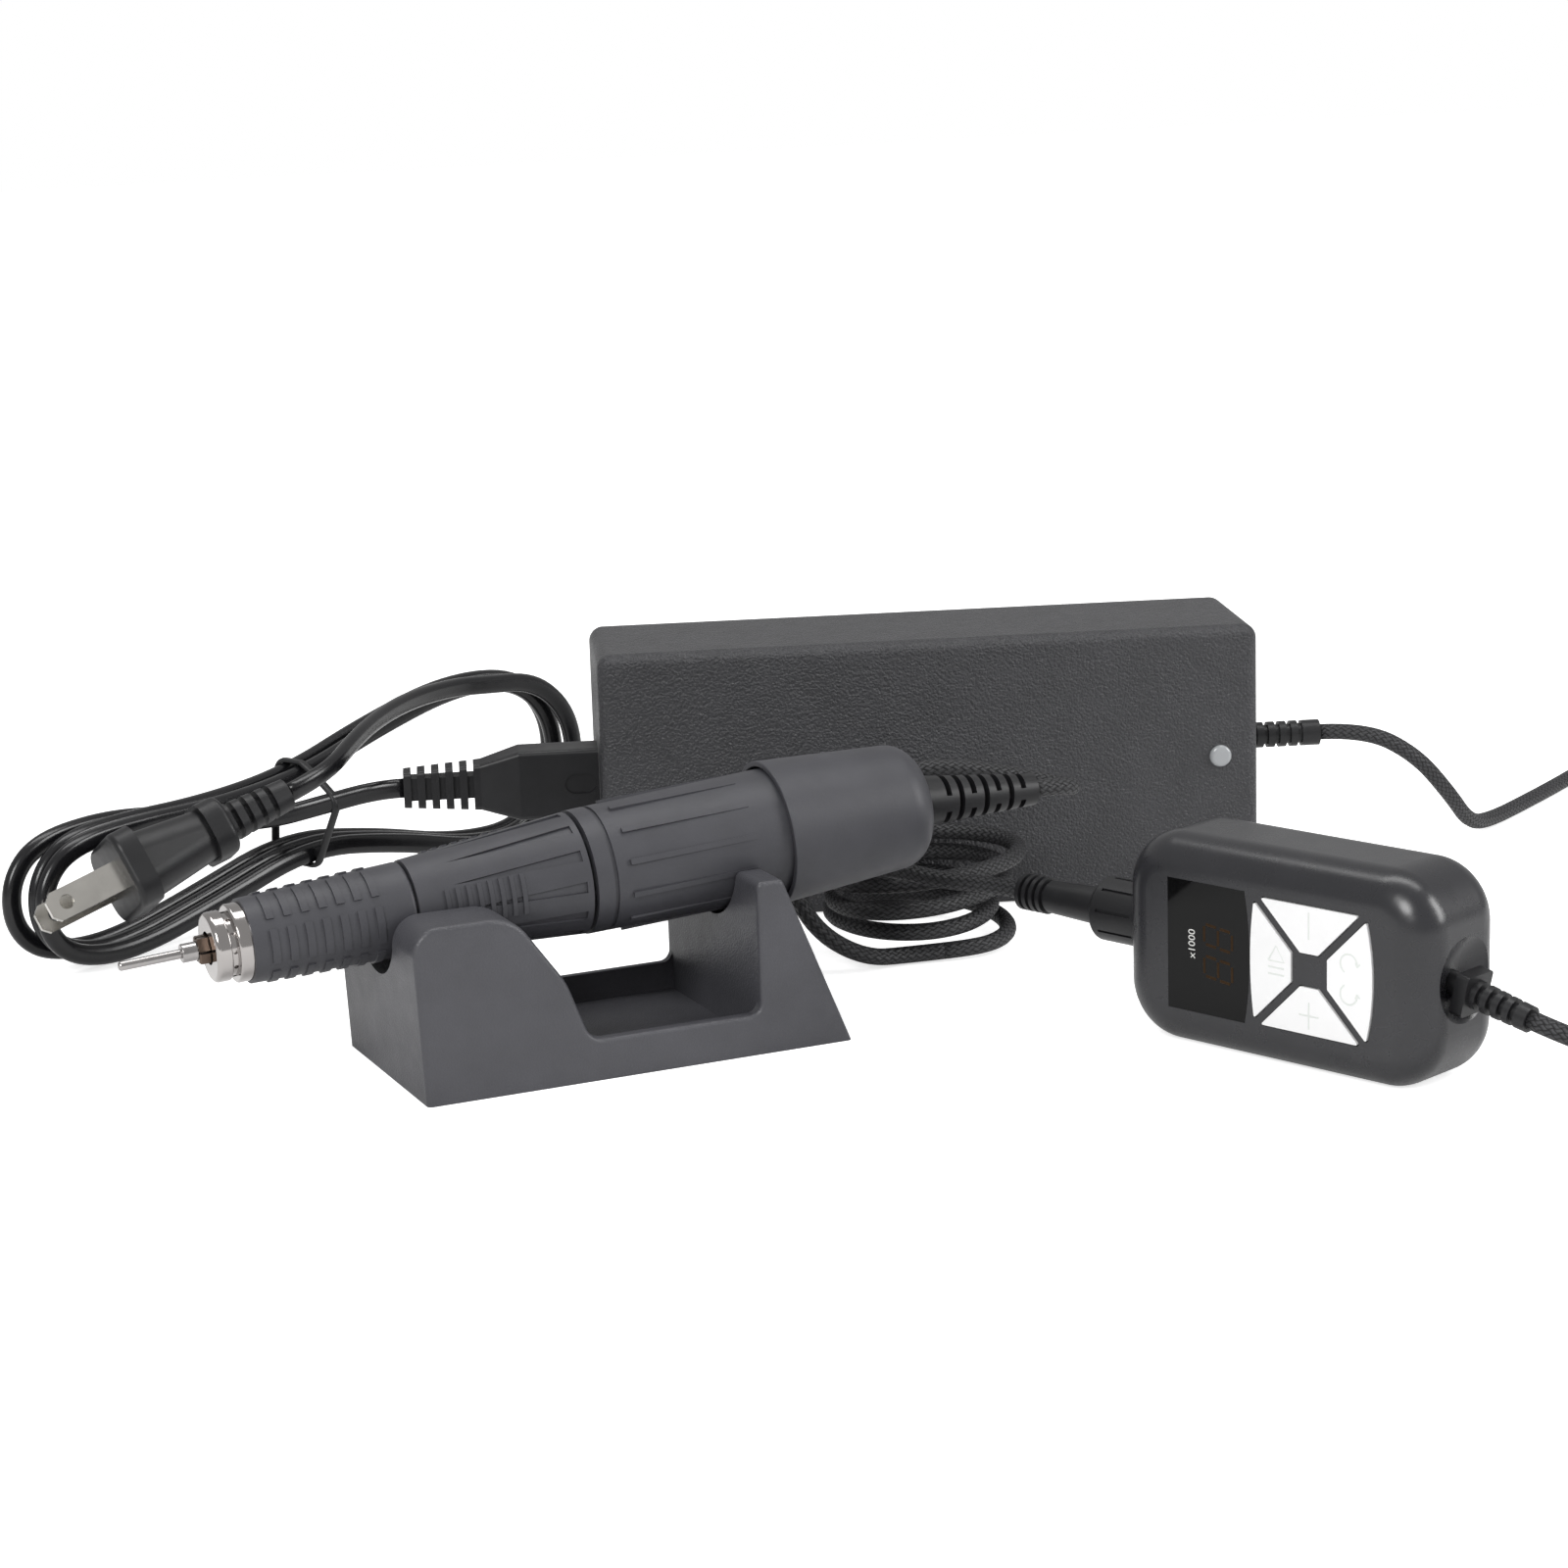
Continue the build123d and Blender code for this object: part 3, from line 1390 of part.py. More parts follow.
with BuildPart(mode=Mode.PRIVATE) as controller_shell:
    add(controller_block)
    for side in (-1, 1):
        with Locations(seat(controller_floor, (side * dimple_distance, 0, controller_height / 2)).location):
            Sphere(dimple_radius, mode=Mode.SUBTRACT)
    add(controller_case.part, mode=Mode.SUBTRACT)
    ring(controller_left, socket_start, socket_end, socket_diameter, mode=Mode.SUBTRACT)
    ring(relief_start, -2 * controller_wall, 2 * controller_wall, controller_relief_neck, mode=Mode.SUBTRACT)

# Controller: window and button outlines on the front
pad_left = pad_centre - pad_half_width
pad_right = pad_centre + pad_half_width

with BuildSketch(controller_front, mode=Mode.PRIVATE) as window_outline:
    with BuildLine():
        Line((window_right, window_half_height), (window_left, window_half_height))
        Line((window_left, window_half_height), (window_left, -window_half_height))
        Line((window_left, -window_half_height), (window_right, -window_half_height))
        ThreePointArc(
            (window_right, -window_half_height),
            (window_right + window_bulge, 0),
            (window_right, window_half_height),
        )
    make_face()

with BuildSketch(controller_front, mode=Mode.PRIVATE) as button_outlines:
    with BuildLine():
        Line((pad_right, pad_half_height), (pad_left, pad_half_height))
        left_bulge = (pad_left - pad_left_bulge, 0)
        ThreePointArc((pad_left, pad_half_height), left_bulge, (pad_left, -pad_half_height))
        Line((pad_left, -pad_half_height), (pad_right, -pad_half_height))
        right_bulge = (pad_right + pad_right_bulge, 0)
        ThreePointArc((pad_right, -pad_half_height), right_bulge, (pad_right, pad_half_height))
    make_face()
    with Locations((pad_centre, 0)):
        Rectangle(2 * hub_half_width, 2 * hub_half_height, mode=Mode.SUBTRACT)
    for across in (-1, 1):
        for up in (-1, 1):
            with BuildLine() as spoke_line:
                Line(
                    (pad_centre, 0),
                    (pad_centre + across * (pad_half_width + overrun), up * (pad_half_height + overrun)),
                )
            trace(spoke_line.line, line_width=2 * spoke_half_width, mode=Mode.SUBTRACT)
    fillet(button_outlines.vertices(), button_corner_radius)

with BuildSketch(controller_front, mode=Mode.PRIVATE) as cap_outlines:
    add(button_outlines.sketch_local)
    offset(amount=-button_gap, kind=Kind.INTERSECTION, mode=Mode.REPLACE)

with BuildSketch(controller_front, mode=Mode.PRIVATE) as rim_outlines:
    add(button_outlines.sketch_local)
    offset(amount=button_rim, kind=Kind.INTERSECTION, mode=Mode.REPLACE)

with BuildPart() as controller_front_shell:
    add(controller_shell.part)
    split(bisect_by=controller_seam, keep=Keep.TOP)
    extrude(window_outline.sketch, amount=-window_thickness, mode=Mode.SUBTRACT)
    with BuildSketch(controller_front):
        add(window_outline.sketch_local)
        offset(amount=-window_ledge, kind=Kind.INTERSECTION, mode=Mode.REPLACE)
    extrude(amount=-2 * controller_wall, mode=Mode.SUBTRACT)
    extrude(button_outlines.sketch, amount=-2 * controller_wall, mode=Mode.SUBTRACT)
    for place in boss_places:
        boss = seat(controller_front, (*place, -controller_front_depth))
        ring(boss, 0, controller_front_depth - controller_wall / 2, boss_diameter)
        ring(boss, 0, screw_length - screw_sink, screw_diameter, mode=Mode.SUBTRACT)

controller_front_shell.part.label = "controller_front_shell"
export_step(controller_front_shell.part, "parts/controller_front_shell.step")
screw_seat = controller_depth - screw_head_height - running_gap

with BuildPart() as controller_rear_shell:
    add(controller_shell.part)
    split(bisect_by=controller_seam, keep=Keep.BOTTOM)
    for place in boss_places:
        boss = seat(controller_front, (*place, -screw_seat))
        ring(boss, 0, screw_seat - controller_front_depth, boss_diameter)
        ring(boss, 0, screw_seat - controller_front_depth, screw_hole_diameter, mode=Mode.SUBTRACT)
        ring(boss, -2 * screw_head_height, 0, screw_head_diameter + 2 * running_gap, mode=Mode.SUBTRACT)
    for across in (-1, 1):
        for up in (-1, 1):
            post_front = -board_depth - controller_board_thickness
            post = seat(
                controller_front,
                (across * controller_post_x, up * controller_post_z, post_front),
            )
            post_length = controller_depth - controller_wall / 2 - board_depth - controller_board_thickness
            ring(post, -post_length, 0, controller_post_diameter)

controller_rear_shell.part.label = "controller_rear_shell"
export_step(controller_rear_shell.part, "parts/controller_rear_shell.step")

with BuildPart() as controller_screws:
    for place in boss_places:
        screw = seat(controller_front, (*place, -screw_seat))
        ring(screw, -screw_head_height, 0, screw_head_diameter)
        ring(screw, 0, screw_length, screw_diameter)
        with BuildSketch(seat(screw, (0, 0, -screw_head_height))):
            Rectangle(screw_head_diameter * 3 / 5, screw_head_height / 3)
            Rectangle(screw_head_height / 3, screw_head_diameter * 3 / 5)
        extrude(amount=screw_head_height / 2, mode=Mode.SUBTRACT)

controller_screws.part.label = "controller_screws"
export_step(controller_screws.part, "parts/controller_screws.step")

# Controller: window, display, board and buttons
with BuildPart() as display_window:
    with BuildSketch(seat(controller_front, (0, 0, -window_thickness))):
        add(window_outline.sketch_local)
        offset(amount=-window_gap, kind=Kind.INTERSECTION, mode=Mode.REPLACE)
    extrude(amount=window_thickness)

display_window.part.label = "display_window"
export_step(display_window.part, "parts/display_window.step")

with BuildPart() as display_module:
    display_middle = (window_left + window_right) / 2
    box(
        controller_front,
        (display_middle - display_width / 2, display_middle + display_width / 2),
        (-display_height / 2, display_height / 2),
        (-board_depth, -controller_wall - display_gap),
    )

display_module.part.label = "display_module"
export_step(display_module.part, "parts/display_module.step")

with BuildPart() as controller_circuit_board:
    box(
        controller_front,
        (-controller_board_length / 2, controller_board_length / 2),
        (-controller_board_height / 2, controller_board_height / 2),
        (-board_depth - controller_board_thickness, -board_depth),
    )

controller_circuit_board.part.label = "controller_circuit_board"
export_step(controller_circuit_board.part, "parts/controller_circuit_board.step")
minus_place = (pad_centre, keypad_z)
plus_place = (pad_centre, -keypad_z)
run_place = (pad_centre - keypad_x, 0)
direction_place = (pad_centre + keypad_x, 0)

with BuildPart() as button_switches:
    for place in (minus_place, plus_place, run_place, direction_place):
        box(
            seat(controller_front, (*place, -board_depth)),
            (-switch_size / 2, switch_size / 2),
            (-switch_size / 2, switch_size / 2),
            (0, switch_height),
        )

button_switches.part.label = "button_switches"
export_step(button_switches.part, "parts/button_switches.step")


def button(place, direction, end):
    """Returns a push button that fills an opening, with a rim and a stem behind the wall."""
    stem_bottom = board_depth - switch_height - button_travel - running_gap
    rim = rim_outlines.sketch.faces().sort_by(Axis(controller_front.origin, direction))[end]
    outline = cap_outlines.sketch.faces().sort_by(Axis(controller_front.origin, direction))[end]
    with BuildPart(mode=Mode.PRIVATE) as cap:
        extrude(rim, amount=-button_wall_back - button_rim_thickness)
        extrude(rim, amount=-button_wall_back, mode=Mode.SUBTRACT)
        extrude(outline, amount=button_rise)
        extrude(outline, amount=-button_wall_back)
        ring(seat(controller_front, (*place, 0)), -stem_bottom, -button_wall_back, button_stem_diameter)
    return cap.part


with BuildPart() as minus_button:
    add(button(minus_place, controller_front.y_dir, -1))

minus_button.part.label = "minus_button"
export_step(minus_button.part, "parts/minus_button.step")

with BuildPart() as plus_button:
    add(button(plus_place, controller_front.y_dir, 0))

plus_button.part.label = "plus_button"
export_step(plus_button.part, "parts/plus_button.step")

with BuildPart() as run_button:
    add(button(run_place, controller_front.x_dir, 0))

run_button.part.label = "run_button"
export_step(run_button.part, "parts/run_button.step")

with BuildPart() as direction_button:
    add(button(direction_place, controller_front.x_dir, -1))

direction_button.part.label = "direction_button"
export_step(direction_button.part, "parts/direction_button.step")

# Controller: socket on the left, cord relief on the right
with BuildPart() as controller_socket:
    well_start = socket_end - socket_well_depth
    ring(controller_left, socket_start, socket_end, socket_diameter)
    ring(controller_left, socket_nut_start, socket_nut_end, socket_nut_diameter)
    flange_end = dimple_floor - controller_wall
    ring(controller_left, flange_end - socket_flange_thickness, flange_end, socket_flange_diameter)
    ring(controller_left, well_start, socket_end, socket_well_diameter, mode=Mode.SUBTRACT)
    for index in range(contact_pin_count):
        angle = 360 / contact_pin_count * index
        contact = seat(seat(controller_left, turn=(0, 0, angle)), (contact_pin_circle / 2, 0, 0))
        contact_width = contact_pin_diameter + 2 * running_gap
        ring(contact, contact_pin_start - loose_gap, well_start, contact_width, mode=Mode.SUBTRACT)

controller_socket.part.label = "controller_socket"
export_step(controller_socket.part, "parts/controller_socket.step")

with BuildPart() as controller_cord_relief:
    relief_flange_end = dimple_depth + controller_relief_flange_length
    ring(relief_start, -2 * controller_wall, dimple_depth, controller_relief_neck)
    ring(
        relief_start,
        -2 * controller_wall - controller_relief_flange_length,
        -2 * controller_wall,
        controller_relief_anchor,
    )
    with BuildSketch(seat(relief_start, (0, 0, dimple_depth))):
        RectangleRounded(controller_relief_flange, controller_relief_flange, controller_relief_groove)
    extrude(amount=controller_relief_flange_length)
    cone(
        relief_start,
        relief_flange_end,
        dimple_depth + controller_relief_length,
        controller_relief_diameter,
        controller_relief_tip,
    )
    for index in range(controller_relief_groove_count):
        groove = relief_flange_end + controller_relief_groove_pitch * (index + 1 / 2)
        ring(
            relief_start,
            groove,
            groove + controller_relief_groove_width,
            controller_relief_flange,
            controller_relief_tip - 2 * controller_relief_groove,
            mode=Mode.SUBTRACT,
        )

controller_cord_relief.part.label = "controller_cord_relief"
export_step(controller_cord_relief.part, "parts/controller_cord_relief.step")

# Handpiece plug and its coupling ring
with BuildPart() as handpiece_plug:
    turned(
        controller_left,
        (well_start + running_gap, 0),
        (well_start + running_gap, plug_tongue_diameter / 2),
        (plug_collar_start, plug_tongue_diameter / 2),
        (plug_collar_start, plug_collar_diameter / 2),
        (plug_collar_start + plug_collar_length, plug_collar_diameter / 2),
        (plug_collar_start + plug_collar_length, plug_barrel_diameter / 2),
        (barrel_end, plug_barrel_tip_diameter / 2),
        (barrel_end, boot_core_diameter / 2),
        (boot_end, boot_core_diameter / 2),
        (boot_end, 0),
    )
    for index in range(boot_ring_count):
        boot_ring = boot_end - boot_ring_length - boot_ring_pitch * index
        ring(controller_left, boot_ring, boot_ring + boot_ring_length, boot_diameter)
    for index in range(contact_pin_count):
        angle = 360 / contact_pin_count * index
        contact = seat(seat(controller_left, turn=(0, 0, angle)), (contact_pin_circle / 2, 0, 0))
        contact_end = contact_pin_start + contact_pin_length
        ring(contact, well_start, contact_end, contact_pin_diameter, mode=Mode.SUBTRACT)

handpiece_plug.part.label = "handpiece_plug"
export_step(handpiece_plug.part, "parts/handpiece_plug.step")

with BuildPart() as plug_pins:
    for index in range(contact_pin_count):
        angle = 360 / contact_pin_count * index
        contact = seat(seat(controller_left, turn=(0, 0, angle)), (contact_pin_circle / 2, 0, 0))
        ring(contact, contact_pin_start, contact_pin_start + contact_pin_length, contact_pin_diameter)

plug_pins.part.label = "plug_pins"
export_step(plug_pins.part, "parts/plug_pins.step")

with BuildPart() as plug_coupling_ring:
    ring_end = ring_start + ring_length
    ring(controller_left, ring_start, ring_end, ring_diameter)
    fillet(plug_coupling_ring.edges().filter_by(GeomType.CIRCLE), ring_edge_radius)
    for index in range(ring_groove_count):
        groove = seat(controller_left, turn=(0, 0, 360 / ring_groove_count * index))
        box(
            groove,
            (ring_diameter / 2 - ring_groove_depth, ring_diameter / 2 + ring_groove_depth),
            (-ring_groove_width / 2, ring_groove_width / 2),
            (ring_start + ring_lip, ring_end - ring_lip),
            mode=Mode.SUBTRACT,
        )
    ring(controller_left, ring_start, ring_end, ring_bore_diameter, mode=Mode.SUBTRACT)
    chamber_start = socket_end + loose_gap
    ring(controller_left, chamber_start, ring_end - ring_lip, ring_mouth_diameter, mode=Mode.SUBTRACT)

plug_coupling_ring.part.label = "plug_coupling_ring"
export_step(plug_coupling_ring.part, "parts/plug_coupling_ring.step")

# Mains plug, its front at the blades' roots
plug_length = plug_plate_length + plug_body_length + plug_bulge_length + plug_relief_length
plug_axis = Vector(plug_heading).normalized()
plug_front = Plane(
    origin=Vector(plug_place) + plug_axis * plug_length,
    x_dir=Vector(plug_across) - plug_axis * plug_axis.dot(Vector(plug_across)),
    z_dir=plug_axis,
)


def plug_section(depth, width, height, radius):
    """Returns a rounded section of the plug at a depth behind its front."""
    with BuildSketch(seat(plug_front, (0, 0, -depth)), mode=Mode.PRIVATE) as section:
        RectangleRounded(width, height, radius)
    return section.sketch


body_start = plug_plate_length
waist_start = body_start + plug_body_length
bulge_end = waist_start + plug_bulge_length

with BuildPart() as mains_plug:
    plug_plate = plug_section(0, plug_plate_width, plug_plate_height, plug_plate_radius)
    extrude(plug_plate, amount=-plug_plate_length)
    fillet(mains_plug.faces().sort_by(Axis(plug_front.origin, plug_axis))[-1].edges(), plug_plate_edge)
    loft(
        [
            plug_section(body_start, plug_body_width, plug_body_height, plug_plate_radius),
            plug_section(waist_start, plug_waist_width, plug_waist_height, plug_plate_radius),
        ]
    )
    bulge = plug_section(waist_start, plug_bulge_width, plug_bulge_height, plug_plate_radius)
    extrude(bulge, amount=-plug_bulge_length)
    fillet(mains_plug.faces().sort_by(Axis(plug_front.origin, plug_axis))[0].edges(), plug_plate_edge)
    loft(
        [
            plug_section(bulge_end, plug_neck_width, plug_neck_height, plug_slot_pitch),
            plug_section(plug_length, plug_tip_width, plug_tip_height, plug_slot_pitch),
        ]
    )
    for index in range(plug_slot_count):
        slot_depth = bulge_end + plug_slot_pitch * (index + 1 / 2)
        outer = plug_section(slot_depth, plug_plate_width, plug_plate_height, plug_slot_pitch)
        core_width = plug_tip_width - 2 * plug_slot_depth
        core_height = plug_tip_height - 2 * plug_slot_depth
        core = plug_section(slot_depth, core_width, core_height, plug_slot_depth)
        extrude(outer - core, amount=-plug_slot_width, mode=Mode.SUBTRACT)
    for side in (-1, 1):
        box(
            seat(plug_front, (side * blade_spacing / 2, 0, 0)),
            (-blade_thickness / 2, blade_thickness / 2),
            (-blade_width / 2, blade_width / 2),
            (-blade_root_length, 0),
            mode=Mode.SUBTRACT,
        )

mains_plug.part.label = "mains_plug"
export_step(mains_plug.part, "parts/mains_plug.step")

with BuildPart() as mains_plug_blades:
    for side in (-1, 1):
        blade = seat(plug_front, (side * blade_spacing / 2, 0, 0))
        box(
            blade,
            (-blade_thickness / 2, blade_thickness / 2),
            (-blade_width / 2, blade_width / 2),
            (-blade_root_length, blade_length),
        )
        tip_plane = seat(blade, (-blade_thickness, 0, blade_length - blade_hole_inset), (0, 90, 0))
        ring(tip_plane, 0, 2 * blade_thickness, blade_hole_diameter, mode=Mode.SUBTRACT)
    tips = mains_plug_blades.faces().group_by(Axis(plug_front.origin, plug_axis))[-1]
    chamfer(tips.edges().filter_by(Axis((0, 0, 0), plug_front.x_dir)), blade_thickness)

mains_plug_blades.part.label = "mains_plug_blades"
export_step(mains_plug_blades.part, "parts/mains_plug_blades.step")

# Mains lead: connector to bundle, bundle, bundle to plug
bundle = Plane(
    origin=(bundle_x, bundle_y, 0),
    x_dir=(cos(radians(bundle_turn)), sin(radians(bundle_turn)), 0),
    z_dir=(0, 0, 1),
)
bundle_step = mains_cord_diameter + bundle_gap


def world(base, points):
    """Returns points given along a plane's axes as places in the part's frame."""
    return [base.from_local_coords(point) for point in points]


def before(points, share=1):
    """Returns the place that a route comes from so as to meet another route's first run in line."""
    return Vector(points[0]) + (Vector(points[0]) - Vector(points[1])) * share


# One loop of the bundle, counter-clockwise from the top left: place along the bundle, and height
loop_outline = [
    (-3, 30.0),
    (-20, 28.4),
    (-27, 21.4),
    (-27, 11.6),
    (-20, 4.6),
    (-3, 3.0),
    (21, 8.6),
    (47, 15.8),
    (73, 11.6),
    (98, 5.0),
    (119.7, 4.6),
    (130.5, 15.4),
    (130.5, 30.8),
    (119.7, 41.6),
    (97, 43.2),
    (72, 37.6),
    (47, 31.2),
    (22, 29.6),
]
loop_end_shifts = [0, 3.2, 1.4]
waist_corner_count = 16
last_layer_corner_count = 14
bundle_points = [(14, (bundle_layer_count - 1) * bundle_step, 28.0)]
for layer, end_shift in enumerate(loop_end_shifts):
    corners = loop_outline if layer < bundle_layer_count - 1 else loop_outline[:last_layer_corner_count]
    for index, (along, height) in enumerate(corners):
        climb = max(0, min(1, (index - waist_corner_count + 1) / 2))
        behind = (bundle_layer_count - 1 - layer - climb) * bundle_step
        inwards = end_shift if along < -3 else -end_shift if along > 98 else 0
        bundle_points.append((along + inwards, behind, height))
bundle_points.append((101, 0, 43.4))

with BuildPart() as mains_cord_hank:
    route = cord_tube(world(bundle, bundle_points), mains_cord_diameter, "mains_cord_hank")
least_gap(route, mains_cord_diameter, "mains_cord_hank")

mains_cord_hank.part.label = "mains_cord_hank"
export_step(mains_cord_hank.part, "parts/mains_cord_hank.step")

lead_places = world(bundle, mains_lead_places)
lead_start = seat(inlet_plane, (0, 0, connector_end))
lead_points = [
    lead_start.origin,
    lead_start.origin + lead_start.z_dir * connector_neck_length * 2 / 3,
    *lead_places,
    before(world(bundle, bundle_points[:2]), 1 / 4),
    world(bundle, bundle_points[:1])[0],
]

with BuildPart() as mains_cord_lead:
    cord_tube(lead_points, mains_cord_diameter, "mains_cord_lead")

mains_cord_lead.part.label = "mains_cord_lead"
export_step(mains_cord_lead.part, "parts/mains_cord_lead.step")
tail_places = world(bundle, mains_tail_places)
tail_end = plug_front.origin - plug_axis * plug_length
tail_points = [
    world(bundle, bundle_points[-1:])[0],
    before(world(bundle, bundle_points[-1:-3:-1]), 1 / 2),
    *tail_places,
    tail_end - plug_axis * plug_plate_length * 2,
    tail_end,
]

with BuildPart() as mains_cord_tail:
    cord_tube(tail_points, mains_cord_diameter, "mains_cord_tail")

mains_cord_tail.part.label = "mains_cord_tail"
export_step(mains_cord_tail.part, "parts/mains_cord_tail.step")

tie_plane = Plane(
    origin=bundle.from_local_coords((bundle_waist - tie_width / 2, 0, 0)),
    x_dir=bundle.y_dir,
    z_dir=bundle.x_dir,
)
tie_low = tie_lowest_run - mains_cord_diameter / 2 - running_gap
tie_high = tie_highest_run + mains_cord_diameter / 2 + running_gap
tie_front = tie_front_run - mains_cord_diameter / 2 - running_gap
tie_back = (bundle_layer_count - 1) * bundle_step + mains_cord_diameter / 2 + running_gap

with BuildPart() as mains_cord_tie:
    with BuildSketch(seat(tie_plane, ((tie_front + tie_back) / 2, (tie_low + tie_high) / 2, 0))):
        RectangleRounded(
            tie_back - tie_front + 2 * tie_thickness,
            tie_high - tie_low + 2 * tie_thickness,
            tie_corner_radius,
        )
        RectangleRounded(
            tie_back - tie_front,
            tie_high - tie_low,
            tie_corner_radius - tie_thickness,
            mode=Mode.SUBTRACT,
        )
    extrude(amount=tie_width)

mains_cord_tie.part.label = "mains_cord_tie"
export_step(mains_cord_tie.part, "parts/mains_cord_tie.step")

# Handpiece cord: plug boot to loose coil, loose coil, loose coil to the handpiece
coil_corners_per_turn = 8
handpiece_coil_start = 205
handpiece_coil_turns = 3.875
loose_turns = int(handpiece_coil_turns * coil_corners_per_turn)


def coil_corner(centre, radius, angle):
    """Returns a corner of a polygon whose sides touch a circle of the given radius."""
    reach = radius / cos(pi / coil_corners_per_turn)
    return (centre[0] + reach * cos(radians(angle)), centre[1] + reach * sin(radians(angle)), centre[2])


loose_points = []
for index in range(loose_turns + 1):
    turn = index / coil_corners_per_turn
    angle = radians(handpiece_coil_start - 360 * turn)
    lean = radians(loose_coil_lean + loose_coil_fan * turn)
    reach = 1 / cos(pi / coil_corners_per_turn)
    long_way = loose_coil_length / 2 * reach * cos(angle - lean)
    short_way = loose_coil_width / 2 * reach * sin(angle - lean)
    middle_x = loose_coil_x + loose_coil_drift * sin(loose_coil_wander * turn)
    middle_y = loose_coil_y + loose_coil_drift * cos(loose_coil_wander * turn)
    loose_points.append(
        (
            middle_x + long_way * cos(lean) - short_way * sin(lean),
            middle_y + long_way * sin(lean) + short_way * cos(lean),
            loose_coil_top - loose_coil_pitch * turn,
        )
    )

with BuildPart() as handpiece_cord_coil:
    route = cord_tube(loose_points, braid_diameter, "handpiece_cord_coil")
least_gap(route, braid_diameter, "handpiece_cord_coil")

handpiece_cord_coil.part.label = "handpiece_cord_coil"
export_step(handpiece_cord_coil.part, "parts/handpiece_cord_coil.step")
boot_plane = seat(controller_left, (0, 0, boot_end))
boot_lead_points = [
    boot_plane.origin,
    boot_plane.origin + boot_plane.z_dir * cord_straight,
    boot_lead_middle,
    before([Vector(point) for point in loose_points], 3 / 4),
    loose_points[0],
]

with BuildPart() as handpiece_cord_lead:
    cord_tube(boot_lead_points, braid_diameter, "handpiece_cord_lead")

handpiece_cord_lead.part.label = "handpiece_cord_lead"
export_step(handpiece_cord_lead.part, "parts/handpiece_cord_lead.step")
relief_tip = seat(relief_plane, (0, 0, relief_length))
handpiece_tail_points = [
    loose_points[-1],
    before([Vector(point) for point in reversed(loose_points)], 1 / 2),
    *handpiece_tail_places,
    relief_tip.origin + relief_tip.z_dir * relief_straight,
    relief_tip.origin,
]

with BuildPart() as handpiece_cord_tail:
    cord_tube(handpiece_tail_points, braid_diameter, "handpiece_cord_tail")

handpiece_cord_tail.part.label = "handpiece_cord_tail"
export_step(handpiece_cord_tail.part, "parts/handpiece_cord_tail.step")

# Supply cord: adapter to coil, coil, coil to controller
supply_points = []
neat_coil_corners = 2 * neat_coil_turns * coil_corners_per_turn + 1
for index in range(neat_coil_corners + 1):
    turn = index / coil_corners_per_turn
    inwards = min(turn, neat_coil_corners / coil_corners_per_turn - turn)
    climb = max(0, min(1, (turn - neat_coil_corners / coil_corners_per_turn / 2) * 2 + 1 / 2))
    centre = (neat_coil_x, neat_coil_y, braid_diameter / 2 + running_gap + climb * neat_coil_step)
    radius = neat_coil_radius - neat_coil_step * inwards
    supply_points.append(coil_corner(centre, radius, neat_coil_angle - 360 * turn))

with BuildPart() as supply_cord_coil:
    route = cord_tube(supply_points, braid_diameter, "supply_cord_coil")
least_gap(route, braid_diameter, "supply_cord_coil")

supply_cord_coil.part.label = "supply_cord_coil"
export_step(supply_cord_coil.part, "parts/supply_cord_coil.step")
outlet_end = seat(outlet_plane, (0, 0, adapter_relief_length))
supply_first_points = [
    outlet_end.origin,
    outlet_end.origin + outlet_end.z_dir * outlet_straight,
    *supply_first_places,
    before([Vector(point) for point in supply_points], 1),
    supply_points[0],
]

with BuildPart() as supply_cord_first:
    cord_tube(supply_first_points, braid_diameter, "supply_cord_first")

supply_cord_first.part.label = "supply_cord_first"
export_step(supply_cord_first.part, "parts/supply_cord_first.step")
controller_relief_end = seat(relief_start, (0, 0, dimple_depth + controller_relief_length))
supply_second_points = [
    supply_points[-1],
    before([Vector(point) for point in reversed(supply_points)], 3 / 4),
    *supply_second_places,
    controller_relief_end.origin + controller_relief_end.z_dir * cord_straight,
    controller_relief_end.origin,
]

with BuildPart() as supply_cord_second:
    cord_tube(supply_second_points, braid_diameter, "supply_cord_second")

supply_cord_second.part.label = "supply_cord_second"
export_step(supply_cord_second.part, "parts/supply_cord_second.step")
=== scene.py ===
"""Dresses a nail drill kit: the drill in its stand, its controller, its adapter and their cords."""

import logging
import math
from dataclasses import dataclass
from enum import Enum
from typing import Dict, List, Sequence, Tuple

import bmesh
import bpy
from mathutils import Matrix, Vector

